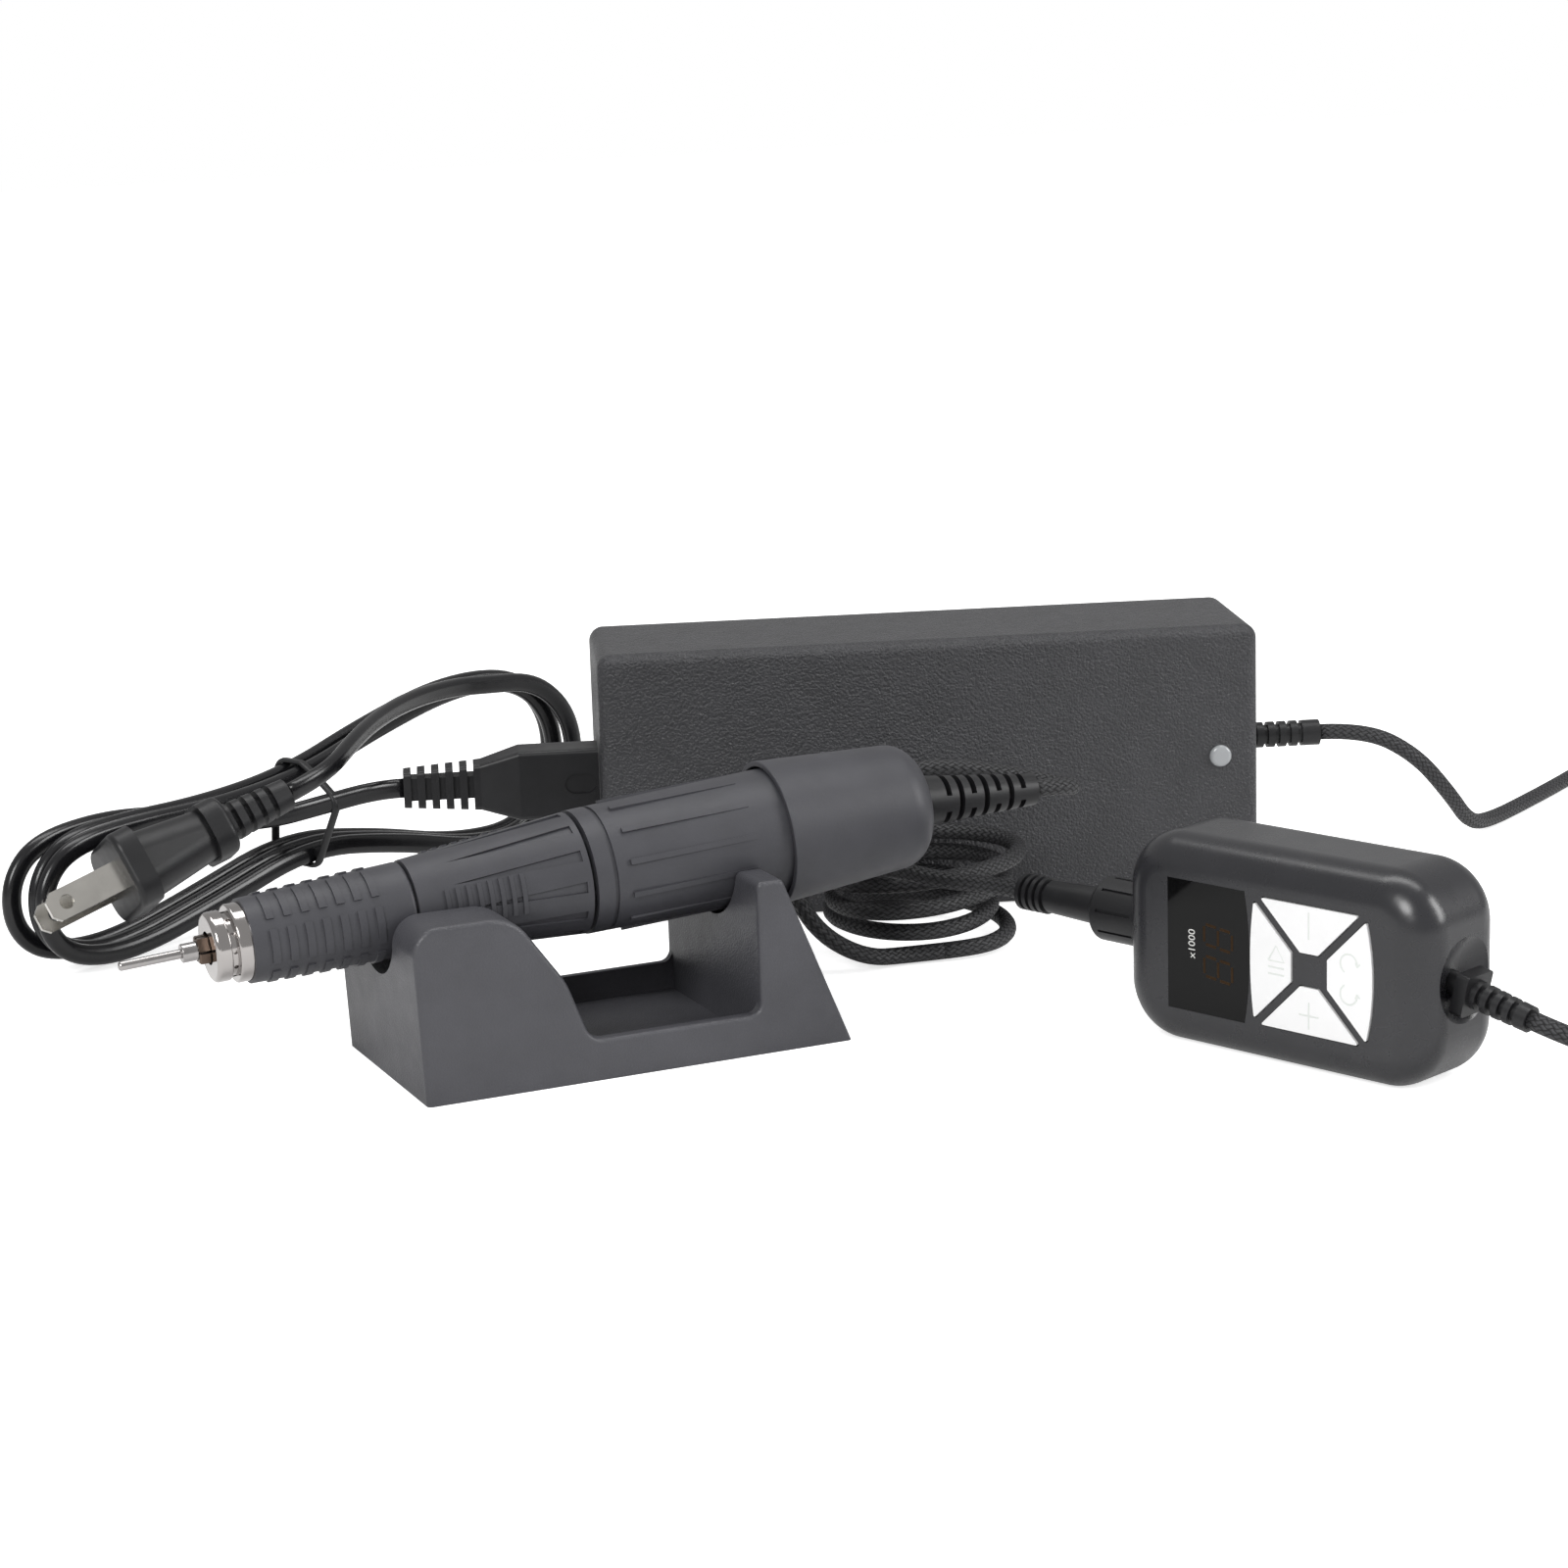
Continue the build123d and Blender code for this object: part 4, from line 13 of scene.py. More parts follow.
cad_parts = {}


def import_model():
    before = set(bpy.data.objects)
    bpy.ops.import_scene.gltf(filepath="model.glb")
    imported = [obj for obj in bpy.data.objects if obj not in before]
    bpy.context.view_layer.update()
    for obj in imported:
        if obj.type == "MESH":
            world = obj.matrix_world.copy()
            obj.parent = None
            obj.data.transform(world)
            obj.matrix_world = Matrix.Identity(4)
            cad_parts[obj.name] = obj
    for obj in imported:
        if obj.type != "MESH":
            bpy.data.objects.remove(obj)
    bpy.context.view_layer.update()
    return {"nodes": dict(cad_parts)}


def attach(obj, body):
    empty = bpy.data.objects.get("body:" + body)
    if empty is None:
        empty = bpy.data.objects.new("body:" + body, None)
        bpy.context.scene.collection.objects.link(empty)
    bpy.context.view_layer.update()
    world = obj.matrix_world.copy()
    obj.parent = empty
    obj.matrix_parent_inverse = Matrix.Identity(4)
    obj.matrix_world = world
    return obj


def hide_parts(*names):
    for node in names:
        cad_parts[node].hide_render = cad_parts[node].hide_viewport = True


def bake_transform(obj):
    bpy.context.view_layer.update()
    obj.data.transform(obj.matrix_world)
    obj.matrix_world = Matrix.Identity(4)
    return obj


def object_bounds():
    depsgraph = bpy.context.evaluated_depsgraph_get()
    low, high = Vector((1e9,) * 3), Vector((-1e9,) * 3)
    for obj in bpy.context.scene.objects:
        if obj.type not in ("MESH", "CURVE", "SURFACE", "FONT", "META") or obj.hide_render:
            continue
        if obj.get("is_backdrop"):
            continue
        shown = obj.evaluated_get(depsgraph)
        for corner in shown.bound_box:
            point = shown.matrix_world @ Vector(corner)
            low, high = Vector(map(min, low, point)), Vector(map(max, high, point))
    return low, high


Triple = Tuple[float, float, float]
Colour = Tuple[float, float, float]
Route = List[Vector]
Flat = Tuple[float, float]
Stroke = List[Flat]
Socket = bpy.types.NodeSocket

MM = 0.001
log = logging.getLogger("nail_drill_kit")


class Grain(Enum):
    """How a surface breaks the light up."""

    PEBBLE = "pebble"
    SATIN = "satin"
    RUBBER = "rubber"
    TURNED = "turned"
    SMOOTH = "smooth"
    BRAID = "braid"


class Rides(Enum):
    """The bodies that the scene's own pieces move with."""

    KIT = "kit"
    DRILL = "handpiece"
    MAINS = "mains_lead"
    MINUS = "minus_button"
    PLUS = "plus_button"
    RUN = "run_button"
    DIRECTION = "direction_button"


@dataclass(frozen=True)
class Finish:
    """One finish: its colour, how rough it is and the grain in its surface."""

    name: str
    colour: Colour
    roughness: float
    grain: Grain = Grain.SATIN
    grain_size: float = 0.5
    depth: float = 0.02
    metallic: float = 0.0
    spread: float = 0.12
    coat: float = 0.0
    shine: float = 0.5
    # Strength of the painted shade in the grain's hollows and the painted highlight on its tops; it
    # also makes roughness follow the grain.
    contrast: float = 0.0

    def material(self) -> bpy.types.Material:
        """Builds the finish's material once and returns it."""
        found = bpy.data.materials.get(self.name)
        if found is not None:
            return found
        made = bpy.data.materials.new(self.name)
        made.use_nodes = True
        made.diffuse_color = (*self.colour, 1.0)
        Shader(made, self).build()
        return made


class Shader:
    """The node tree of one finish, with its patterns' sizes in millimetres."""

    STRANDS = 10.0
    COAT_ROUGHNESS = 0.08
    TONE_SIZE = 9.0
    TONE_RANGE = (0.3, 0.7)
    WEAR_SIZE = 3.5
    WEAR = 0.15
    FINE_DETAIL = 4.0
    MARK_DETAIL = 2.0
    RUBBER_DETAIL = 5.0
    HOLLOW_ROUGHNESS = 0.3
    # Grain heights over which the colour goes from painted shade to painted highlight.
    SHADE_HIGHLIGHT_RANGE = (0.25, 0.95)
    PEBBLE_SMOOTHNESS = 0.6
    PEBBLE_LUMPS = 0.6
    TOOL_MARKS = (1.0, 0.04, 0.04)
    RUBBER_LUMPS = 3.0

    def __init__(self, material: bpy.types.Material, finish: Finish) -> None:
        """Takes the material to fill and the finish it is for."""
        self.tree = material.node_tree
        self.nodes = self.tree.nodes
        self.finish = finish

    def add(self, kind: str, **settings: object) -> bpy.types.Node:
        """Adds a node with its settings and returns it."""
        node = self.nodes.new(kind)
        for name, value in settings.items():
            setattr(node, name, value)
        return node

    def join(self, source: Socket, target: Socket) -> None:
        """Links one socket to another."""
        self.tree.links.new(source, target)

    def maths(self, operation: str, first: object, second: object = None) -> Socket:
        """Adds a math node fed by sockets or numbers.

        Args:
            operation: The node's operation.
            first: A socket or a number.
            second: A socket, a number or nothing.

        Returns:
            The socket that carries the answer.
        """
        node = self.add("ShaderNodeMath", operation=operation)
        for slot, value in enumerate((first, second)):
            if isinstance(value, Socket):
                self.join(value, node.inputs[slot])
            elif value is not None:
                node.inputs[slot].default_value = value
        return node.outputs[0]

    def noise(self, place: Socket, size: float, detail: float = 3.0) -> Socket:
        """Returns noise whose lumps are about size millimetres across."""
        node = self.add("ShaderNodeTexNoise")
        node.inputs["Scale"].default_value = 1.0 / (size * MM)
        node.inputs["Detail"].default_value = detail
        self.join(place, node.inputs["Vector"])
        return node.outputs["Fac"]

    def build(self) -> None:
        """Fills the tree: tone, roughness, relief and, on a finish with painted contrast, painted
        shade and highlight, all from the finish's own numbers.
        """
        finish = self.finish
        shader = self.nodes["Principled BSDF"]
        shader.inputs["Metallic"].default_value = finish.metallic
        shader.inputs["Coat Weight"].default_value = finish.coat
        shader.inputs["Coat Roughness"].default_value = self.COAT_ROUGHNESS
        shader.inputs["Specular IOR Level"].default_value = finish.shine
        place = self.add("ShaderNodeTexCoord").outputs["Object"]
        height = self.relief(place)
        tone = self.add("ShaderNodeMapRange")
        tone.inputs["From Min"].default_value = self.TONE_RANGE[0]
        tone.inputs["From Max"].default_value = self.TONE_RANGE[1]
        self.join(self.noise(place, self.TONE_SIZE, self.FINE_DETAIL), tone.inputs["Value"])
        blend = self.add("ShaderNodeMix", data_type="RGBA")
        darker, lighter = 1 - finish.spread, 1 + finish.spread
        dark = [part * darker for part in finish.colour]
        light = [min(1.0, part * lighter) for part in finish.colour]
        blend.inputs["A"].default_value = (*dark, 1.0)
        blend.inputs["B"].default_value = (*light, 1.0)
        self.join(tone.outputs["Result"], blend.inputs["Factor"])
        colour = blend.outputs["Result"]
        rough = self.add("ShaderNodeMapRange")
        rough.inputs["To Min"].default_value = max(0.02, finish.roughness * (1 - self.WEAR))
        rough.inputs["To Max"].default_value = min(1.0, finish.roughness * (1 + self.WEAR))
        self.join(self.noise(place, self.WEAR_SIZE), rough.inputs["Value"])
        if finish.contrast:
            hollow = min(1.0, finish.roughness + self.HOLLOW_ROUGHNESS)
            rough.inputs["To Min"].default_value = hollow
            self.join(height, rough.inputs["Value"])
            # Painted shade in the grain's hollows and a painted highlight on its tops.
            colour = self.paint_shade_and_highlight(colour, height)
        self.join(colour, shader.inputs["Base Color"])
        self.join(rough.outputs["Result"], shader.inputs["Roughness"])
        bump = self.add("ShaderNodeBump")
        bump.inputs["Strength"].default_value = 1.0
        bump.inputs["Distance"].default_value = finish.depth * MM
        self.join(height, bump.inputs["Height"])
        self.join(bump.outputs["Normal"], shader.inputs["Normal"])

    def paint_shade_and_highlight(self, colour: Socket, height: Socket) -> Socket:
        """Returns the colour with painted shade in the hollows of the grain and a painted highlight
        on its tops.

        Args:
            colour: The finish's own colour.
            height: The grain's height, from 0 to 1.

        Returns:
            The colour to use.
        """
        strength = self.finish.contrast
        gain = self.add("ShaderNodeMapRange")
        gain.inputs["From Min"].default_value = self.SHADE_HIGHLIGHT_RANGE[0]
        gain.inputs["From Max"].default_value = self.SHADE_HIGHLIGHT_RANGE[1]
        gain.inputs["To Min"].default_value = 1.0 - strength
        gain.inputs["To Max"].default_value = 1.0 + 2.0 * strength
        self.join(height, gain.inputs["Value"])
        scaled = self.add("ShaderNodeVectorMath", operation="SCALE")
        self.join(colour, scaled.inputs[0])
        self.join(gain.outputs["Result"], scaled.inputs["Scale"])
        return scaled.outputs[0]

    def relief(self, place: Socket) -> Socket:
        """Returns the height of the finish's grain."""
        finish = self.finish
        if finish.grain is Grain.PEBBLE:
            cells = self.add("ShaderNodeTexVoronoi", feature="SMOOTH_F1")
            cells.inputs["Scale"].default_value = 1.0 / (finish.grain_size * MM)
            cells.inputs["Smoothness"].default_value = self.PEBBLE_SMOOTHNESS
            self.join(place, cells.inputs["Vector"])
            lumps = self.maths("SUBTRACT", 1.0, cells.outputs["Distance"])
            fine = self.noise(place, finish.grain_size * self.PEBBLE_LUMPS)
            return self.maths("ADD", lumps, fine)
        if finish.grain is Grain.TURNED:
            stretch = self.add("ShaderNodeMapping")
            stretch.inputs["Scale"].default_value = self.TOOL_MARKS
            self.join(place, stretch.inputs["Vector"])
            return self.noise(stretch.outputs["Vector"], finish.grain_size, self.MARK_DETAIL)
        if finish.grain is Grain.BRAID:
            return self.weave()
        if finish.grain is Grain.RUBBER:
            coarse = self.noise(place, finish.grain_size * self.RUBBER_LUMPS)
            fine = self.noise(place, finish.grain_size, self.RUBBER_DETAIL)
            return self.maths("ADD", fine, coarse)
        return self.noise(place, finish.grain_size, self.FINE_DETAIL)

    def weave(self) -> Socket:
        """Returns the height of strands that pass over and under each other round a cord."""
        around = self.add("ShaderNodeSeparateXYZ")
        self.join(self.add("ShaderNodeTexCoord").outputs["UV"], around.inputs[0])
        turns = self.maths("MULTIPLY", around.outputs["X"], self.STRANDS)
        along = self.maths("MULTIPLY", around.outputs["Y"], 1.0 / (self.finish.grain_size * MM))
        left = self.maths("ADD", turns, along)
        right = self.maths("SUBTRACT", turns, along)
        steps = self.maths("ADD", self.maths("FLOOR", left), self.maths("FLOOR", right))
        over = self.maths("FLOORED_MODULO", steps, 2.0)
        ridges = [
            self.maths("ABSOLUTE", self.maths("SINE", self.maths("MULTIPLY", way, math.pi)))
            for way in (left, right)
        ]
        first = self.maths("MULTIPLY", ridges[0], over)
        second = self.maths("MULTIPLY", ridges[1], self.maths("SUBTRACT", 1.0, over))
        return self.maths("ADD", first, second)


class Finishes:
    ADAPTER = Finish(
        "adapter_pebble", (0.028, 0.028, 0.031), 0.38, Grain.PEBBLE, 0.62, 0.26, shine=0.45
    )
    LENS = Finish("lamp_lens", (0.30, 0.31, 0.32), 0.12, Grain.SMOOTH, 2.0, 0.003, coat=0.6)
    INNER = Finish("inner_plastic", (0.10, 0.10, 0.10), 0.5)
    BOARD = Finish("board_green", (0.03, 0.16, 0.07), 0.35, Grain.SATIN, 1.2, 0.02)
    PLATED = Finish("plated_contact", (0.60, 0.58, 0.54), 0.22, Grain.TURNED, 0.3, 0.004, 1.0)
    CORE = Finish("varnished_core", (0.20, 0.20, 0.21), 0.45, Grain.SATIN, 0.4, 0.02, 0.6)
    SINK = Finish("extruded_fin", (0.60, 0.61, 0.62), 0.35, Grain.TURNED, 0.4, 0.006, 1.0)
    SHEATH = Finish(
        "glossy_sheath", (0.006, 0.006, 0.007), 0.24, Grain.SMOOTH, 2.5, 0.02, shine=0.42
    )
    # Its colour carries painted shade in the weave's hollows and a painted highlight on the
    # strands' tops.
    BRAID = Finish(
        "braided_sleeve",
        (0.011, 0.011, 0.012),
        0.42,
        Grain.BRAID,
        1.9,
        0.2,
        shine=0.4,
        contrast=0.85,
    )
    MOULDED = Finish(
        "moulded_lead_end", (0.008, 0.008, 0.009), 0.42, Grain.SATIN, 0.5, 0.012, shine=0.38
    )
    CASE = Finish(
        "satin_case", (0.017, 0.017, 0.0195), 0.28, Grain.SATIN, 0.35, 0.006, spread=0.08
    )
    WINDOW = Finish(
        "smoked_window", (0.001, 0.001, 0.001), 0.04, Grain.SMOOTH, 4.0, 0.0002, shine=0.2
    )
    SEGMENT = Finish(
        "unlit_segment", (0.030, 0.015, 0.005), 0.4, Grain.SMOOTH, 2.0, 0.001, shine=0.1
    )
    PRINT = Finish("printed_white", (0.62, 0.62, 0.60), 0.5, Grain.SMOOTH, 1.0, 0.001)
    KEY = Finish("white_key", (0.80, 0.80, 0.80), 0.4, Grain.SATIN, 0.4, 0.004, spread=0.02)
    KEY_MARK = Finish("key_symbol", (0.66, 0.69, 0.66), 0.45, Grain.SATIN, 0.4, 0.004, spread=0.03)
    GRIP = Finish(
        "rubber_coat",
        (0.037, 0.037, 0.043),
        0.50,
        Grain.RUBBER,
        0.22,
        0.014,
        spread=0.1,
        shine=0.45,
    )
    STAND = Finish(
        "stand_grain", (0.050, 0.050, 0.057), 0.42, Grain.PEBBLE, 0.4, 0.05, spread=0.08, shine=0.45
    )
    NOSE = Finish("polished_nose", (0.40, 0.38, 0.37), 0.12, Grain.TURNED, 0.12, 0.004, 1.0, 0.05)
    STEEL = Finish("ground_steel", (0.36, 0.345, 0.34), 0.24, Grain.TURNED, 0.15, 0.003, 1.0)
    BRONZE = Finish("tempered_bronze", (0.125, 0.09, 0.07), 0.3, Grain.TURNED, 0.15, 0.004, 1.0)
    ALLOY = Finish("turned_alloy", (0.50, 0.51, 0.53), 0.32, Grain.TURNED, 0.2, 0.005, 1.0)
    COPPER = Finish("enamelled_copper", (0.62, 0.25, 0.12), 0.3, Grain.TURNED, 0.3, 0.05, 1.0)
    MAGNET = Finish("plated_magnet", (0.42, 0.42, 0.44), 0.3, Grain.SATIN, 0.5, 0.004, 0.9)


NODE_FINISHES: Dict[str, Finish] = {
    "adapter_front_shell": Finishes.ADAPTER,
    "adapter_rear_shell": Finishes.ADAPTER,
    "adapter_indicator": Finishes.LENS,
    "adapter_cord_relief": Finishes.MOULDED,
    "adapter_mains_inlet": Finishes.INNER,
    "adapter_inlet_pins": Finishes.PLATED,
    "adapter_circuit_board": Finishes.BOARD,
    "adapter_transformer": Finishes.CORE,
    "adapter_capacitors": Finishes.INNER,
    "adapter_heat_sinks": Finishes.SINK,
    "mains_connector": Finishes.MOULDED,
    "mains_connector_contacts": Finishes.PLATED,
    "mains_plug": Finishes.MOULDED,
    "mains_plug_blades": Finishes.PLATED,
    "controller_front_shell": Finishes.CASE,
    "controller_rear_shell": Finishes.CASE,
    "display_window": Finishes.WINDOW,
    "display_module": Finishes.INNER,
    "minus_button": Finishes.KEY,
    "plus_button": Finishes.KEY,
    "run_button": Finishes.KEY,
    "direction_button": Finishes.KEY,
    "controller_circuit_board": Finishes.BOARD,
    "button_switches": Finishes.INNER,
    "controller_socket": Finishes.MOULDED,
    "controller_cord_relief": Finishes.MOULDED,
    "controller_screws": Finishes.STEEL,
    "handpiece_plug": Finishes.MOULDED,
    "plug_pins": Finishes.PLATED,
    "plug_coupling_ring": Finishes.MOULDED,
    "nose_cap": Finishes.NOSE,
    "front_grip": Finishes.GRIP,
    "front_barrel": Finishes.ALLOY,
    "motor_housing": Finishes.GRIP,
    "rear_shroud": Finishes.GRIP,
    "handpiece_cord_relief": Finishes.MOULDED,
    "spindle_bearings": Finishes.STEEL,
    "stator_core": Finishes.CORE,
    "stator_windings": Finishes.COPPER,
    "motor_end_bell": Finishes.ALLOY,
    "motor_bearings": Finishes.STEEL,
    "twist_sleeve": Finishes.GRIP,
    "draw_cam": Finishes.STEEL,
    "spindle": Finishes.STEEL,
    "motor_shaft": Finishes.STEEL,
    "rotor_magnet": Finishes.MAGNET,
    "collet_spring": Finishes.STEEL,
    "collet": Finishes.BRONZE,
    "test_pin": Finishes.STEEL,
    "handpiece_stand": Finishes.STAND,
}


@dataclass(frozen=True)
class Place:
    origin: Triple
    across: Triple
    out: Triple

    def axes(self) -> Matrix:
        """Returns the matrix that takes lengths in metres along these axes into the frame."""
        out = Vector(self.out).normalized()
        across = Vector(self.across)
        across = (across - out * across.dot(out)).normalized()
        up = out.cross(across)
        turn = Matrix((across, up, out)).transposed().to_4x4()
        return Matrix.Translation(Vector(self.origin) * MM) @ turn

    def at(self, across: float, up: float, out: float = 0.0) -> Vector:
        """Returns the point at these millimetres along the axes, in metres."""
        return self.axes() @ (Vector((across, up, out)) * MM)

    def route(self, points: Sequence[Triple]) -> Route:
        """Returns points given along the axes as places in metres."""
        return [self.at(*point) for point in points]


def heading(angle: float) -> Triple:
    """Returns the level direction at an angle in degrees from +X."""
    return (math.cos(math.radians(angle)), math.sin(math.radians(angle)), 0.0)


def metres(points: Sequence[Triple]) -> Route:
    """Returns points in millimetres as places in metres."""
    return [Vector(point) * MM for point in points]


def before(points: Route, share: float) -> Vector:
    """Returns the place, a share of a run ahead of a route, that meets its first run in line."""
    return points[0] + (points[0] - points[1]) * share


def baked(holder: bpy.types.Object) -> bpy.types.Mesh:
    """Returns a holder's evaluated shape as a plain mesh, and removes its modifiers and itself."""
    bpy.context.view_layer.update()
    graph = bpy.context.evaluated_depsgraph_get()
    mesh = bpy.data.meshes.new_from_object(holder.evaluated_get(graph))
    holder.modifiers.clear()
    bpy.data.objects.remove(holder)
    return mesh


def keep(mesh: bpy.types.Mesh, name: str, finish: Finish, body: Rides) -> bpy.types.Object:
    """Args:
        mesh: The mesh, already in its place.
        name: The piece's name.
        finish: What it is finished in.
        body: What it moves with.

    Returns:
        The piece.
    """
    mesh.materials.clear()
    mesh.materials.append(finish.material())
    piece = bpy.data.objects.new(name, mesh)
    bpy.context.scene.collection.objects.link(piece)
    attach(piece, body.value)
    log.info("%s: %d faces", name, len(mesh.polygons))
    return piece


class Cord:
    """A flexible cord along a smooth line through a route's points."""

    SIDES = 14
    STEPS = 8
    FLAT_BELOW = 0.98
    WAIST = 0.80
    CORES = 0.34
    CORE_FALL = 1.2

    def __init__(
        self, name: str, points: Route, width: float, height: float, finish: Finish
    ) -> None:
        """Takes the route in metres, and the cord's width and height in millimetres.

        Args:
            name: The piece's name.
            points: The route's points, in metres.
            width: The cord's width.
            height: The cord's height, which is less than its width on a flat cord.
            finish: What it is finished in.
        """
        self.name = name
        self.width = width * MM
        self.height = height * MM
        self.finish = finish
        self.line = self.smooth(points)

    def smooth(self, points: Route) -> Route:
        """Returns close points along the smooth line that the route's points control."""
        curve = bpy.data.curves.new(self.name + "_line", "CURVE")
        curve.dimensions = "3D"
        curve.resolution_u = self.STEPS
        spline = curve.splines.new("NURBS")
        spline.points.add(len(points) - 1)
        for knot, point in zip(spline.points, points):
            knot.co = (*point, 1.0)
        spline.order_u = 3
        spline.use_endpoint_u = True
        holder = bpy.data.objects.new(self.name + "_line", curve)
        bpy.context.scene.collection.objects.link(holder)
        drawn = baked(holder)
        line = [vertex.co.copy() for vertex in drawn.vertices]
        bpy.data.meshes.remove(drawn)
        return line

    def length(self) -> float:
        """Returns the line's length in metres."""
        return sum((b - a).length for a, b in zip(self.line, self.line[1:]))

    def section(self, angle: float) -> Flat:
        """Returns the outline's place at an angle: round, or two cores side by side."""
        across, up = math.cos(angle) * self.width / 2, math.sin(angle) * self.height / 2
        if self.height < self.width * self.FLAT_BELOW:
            up *= self.WAIST + self.CORES * abs(math.cos(angle)) ** self.CORE_FALL
        return across, up

    def mesh(self) -> bpy.types.Mesh:
        """Returns the cord's tube, with the way round and the way along as its UV map."""
        line = self.line
        side = Vector((0.0, 0.0, 1.0))
        built = bmesh.new()
        rings: List[List[bmesh.types.BMVert]] = []
        travel: List[float] = [0.0]
        for index, point in enumerate(line):
            following = line[min(index + 1, len(line) - 1)]
            ahead = (following - line[max(index - 1, 0)]).normalized()
            side = side - ahead * side.dot(ahead)
            side = side.normalized() if side.length > 1e-6 else ahead.orthogonal().normalized()
            other = ahead.cross(side)
            ring = []
            for step in range(self.SIDES):
                across, up = self.section(2 * math.pi * step / self.SIDES)
                ring.append(built.verts.new(point + side * across + other * up))
            rings.append(ring)
            if index:
                travel.append(travel[-1] + (point - line[index - 1]).length)
        layer = built.loops.layers.uv.new("UVMap")
        for index, (ring, following) in enumerate(zip(rings, rings[1:])):
            for step in range(self.SIDES):
                after = (step + 1) % self.SIDES
                quad = (ring[step], ring[after], following[after], following[step])
                face = built.faces.new(quad)
                face.smooth = True
                rows = (index, index, index + 1, index + 1)
                places = zip((step, step + 1, step + 1, step), rows)
                for loop, (turn, row) in zip(face.loops, places):
                    loop[layer].uv = (turn / self.SIDES, travel[row])
        built.faces.new(list(reversed(rings[0])))
        built.faces.new(rings[-1])
        bmesh.ops.recalc_face_normals(built, faces=built.faces)
        mesh = bpy.data.meshes.new(self.name)
        built.to_mesh(mesh)
        built.free()
        return mesh

    def lay(
        self,
        body: Rides,
        nodes: Sequence[str],
        far_end: str,
        stiffness: str,
        lay: str,
        extras: Sequence[str] = (),
        slot: str = "cord_braid",
    ) -> bpy.types.Object:
        """Makes the cord a piece, in place of the plain tubes.

        Args:
            body: What it rides on.
            nodes: The plain tubes that it stands for.
            far_end: Not used.
            stiffness: Not used.
            lay: Not used.
            extras: Not used.
            slot: Not used.

        Returns:
            The cord.
        """
        piece = keep(self.mesh(), self.name, self.finish, body)
        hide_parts(*nodes)
        self.length()
        log.info("%s: %.0f mm long", self.name, self.length() / MM)
        return piece


class Strokes:
    """A Geometry Nodes tree that runs a round bead along lines, and the pieces made with it."""

    def __init__(self) -> None:
        """Builds the tree, with the bead's radius and its finish as named inputs."""
        self.tree = bpy.data.node_groups.new("bead_along_lines", "GeometryNodeTree")
        face = self.tree.interface
        face.new_socket("Lines", in_out="INPUT", socket_type="NodeSocketGeometry")
        self.radius = face.new_socket("Radius", in_out="INPUT", socket_type="NodeSocketFloat")
        self.sides = face.new_socket("Sides", in_out="INPUT", socket_type="NodeSocketInt")
        self.finish = face.new_socket("Finish", in_out="INPUT", socket_type="NodeSocketMaterial")
        face.new_socket("Beads", in_out="OUTPUT", socket_type="NodeSocketGeometry")
        given = self.tree.nodes.new("NodeGroupInput")
        curve = self.tree.nodes.new("GeometryNodeMeshToCurve")
        profile = self.tree.nodes.new("GeometryNodeCurvePrimitiveCircle")
        tube = self.tree.nodes.new("GeometryNodeCurveToMesh")
        tube.inputs["Fill Caps"].default_value = True
        smooth = self.tree.nodes.new("GeometryNodeSetShadeSmooth")
        real = self.tree.nodes.new("GeometryNodeRealizeInstances")
        paint = self.tree.nodes.new("GeometryNodeSetMaterial")
        answer = self.tree.nodes.new("NodeGroupOutput")
        join = self.tree.links.new
        join(given.outputs["Lines"], curve.inputs["Mesh"])
        join(given.outputs["Radius"], profile.inputs["Radius"])
        join(given.outputs["Sides"], profile.inputs["Resolution"])
        join(curve.outputs["Curve"], tube.inputs["Curve"])
        join(profile.outputs["Curve"], tube.inputs["Profile Curve"])
        join(tube.outputs["Mesh"], smooth.inputs["Geometry"])
        join(smooth.outputs["Geometry"], real.inputs["Geometry"])
        join(real.outputs["Geometry"], paint.inputs["Geometry"])
        join(given.outputs["Finish"], paint.inputs["Material"])
        join(paint.outputs["Geometry"], answer.inputs["Beads"])

    def mesh(
        self,
        name: str,
        lines: Sequence[Sequence[Flat]],
        width: float,
        thickness: float,
        finish: Finish,
        closed: bool = False,
        sides: int = 8,
    ) -> bpy.types.Mesh:
        """Runs a flat bead along lines drawn in a plane.

        Args:
            name: The mesh's name.
            lines: Each line's places in the plane, in millimetres.
            width: The bead's width in the plane.
            thickness: The bead's thickness out of the plane.
            finish: What it is finished in.
            closed: Whether each line comes back to its start.
            sides: The bead's sides.

        Returns:
            The mesh, in metres, lying about the plane.
        """
        vertices: List[Triple] = []
        edges: List[Tuple[int, int]] = []
        for line in lines:
            first = len(vertices)
            vertices += [(x * MM, y * MM, 0.0) for x, y in line]
            edges += [(index, index + 1) for index in range(first, len(vertices) - 1)]
            if closed:
                edges.append((len(vertices) - 1, first))
        drawn = bpy.data.meshes.new(name + "_lines")
        drawn.from_pydata(vertices, edges, [])
        holder = bpy.data.objects.new(name + "_lines", drawn)
        bpy.context.scene.collection.objects.link(holder)
        modifier = holder.modifiers.new("beads", "NODES")
        modifier.node_group = self.tree
        modifier[self.radius.identifier] = width * MM / 2
        modifier[self.sides.identifier] = sides
        modifier[self.finish.identifier] = finish.material()
        made = baked(holder)
        made.transform(Matrix.Diagonal((1.0, 1.0, thickness / width, 1.0)))
        return made


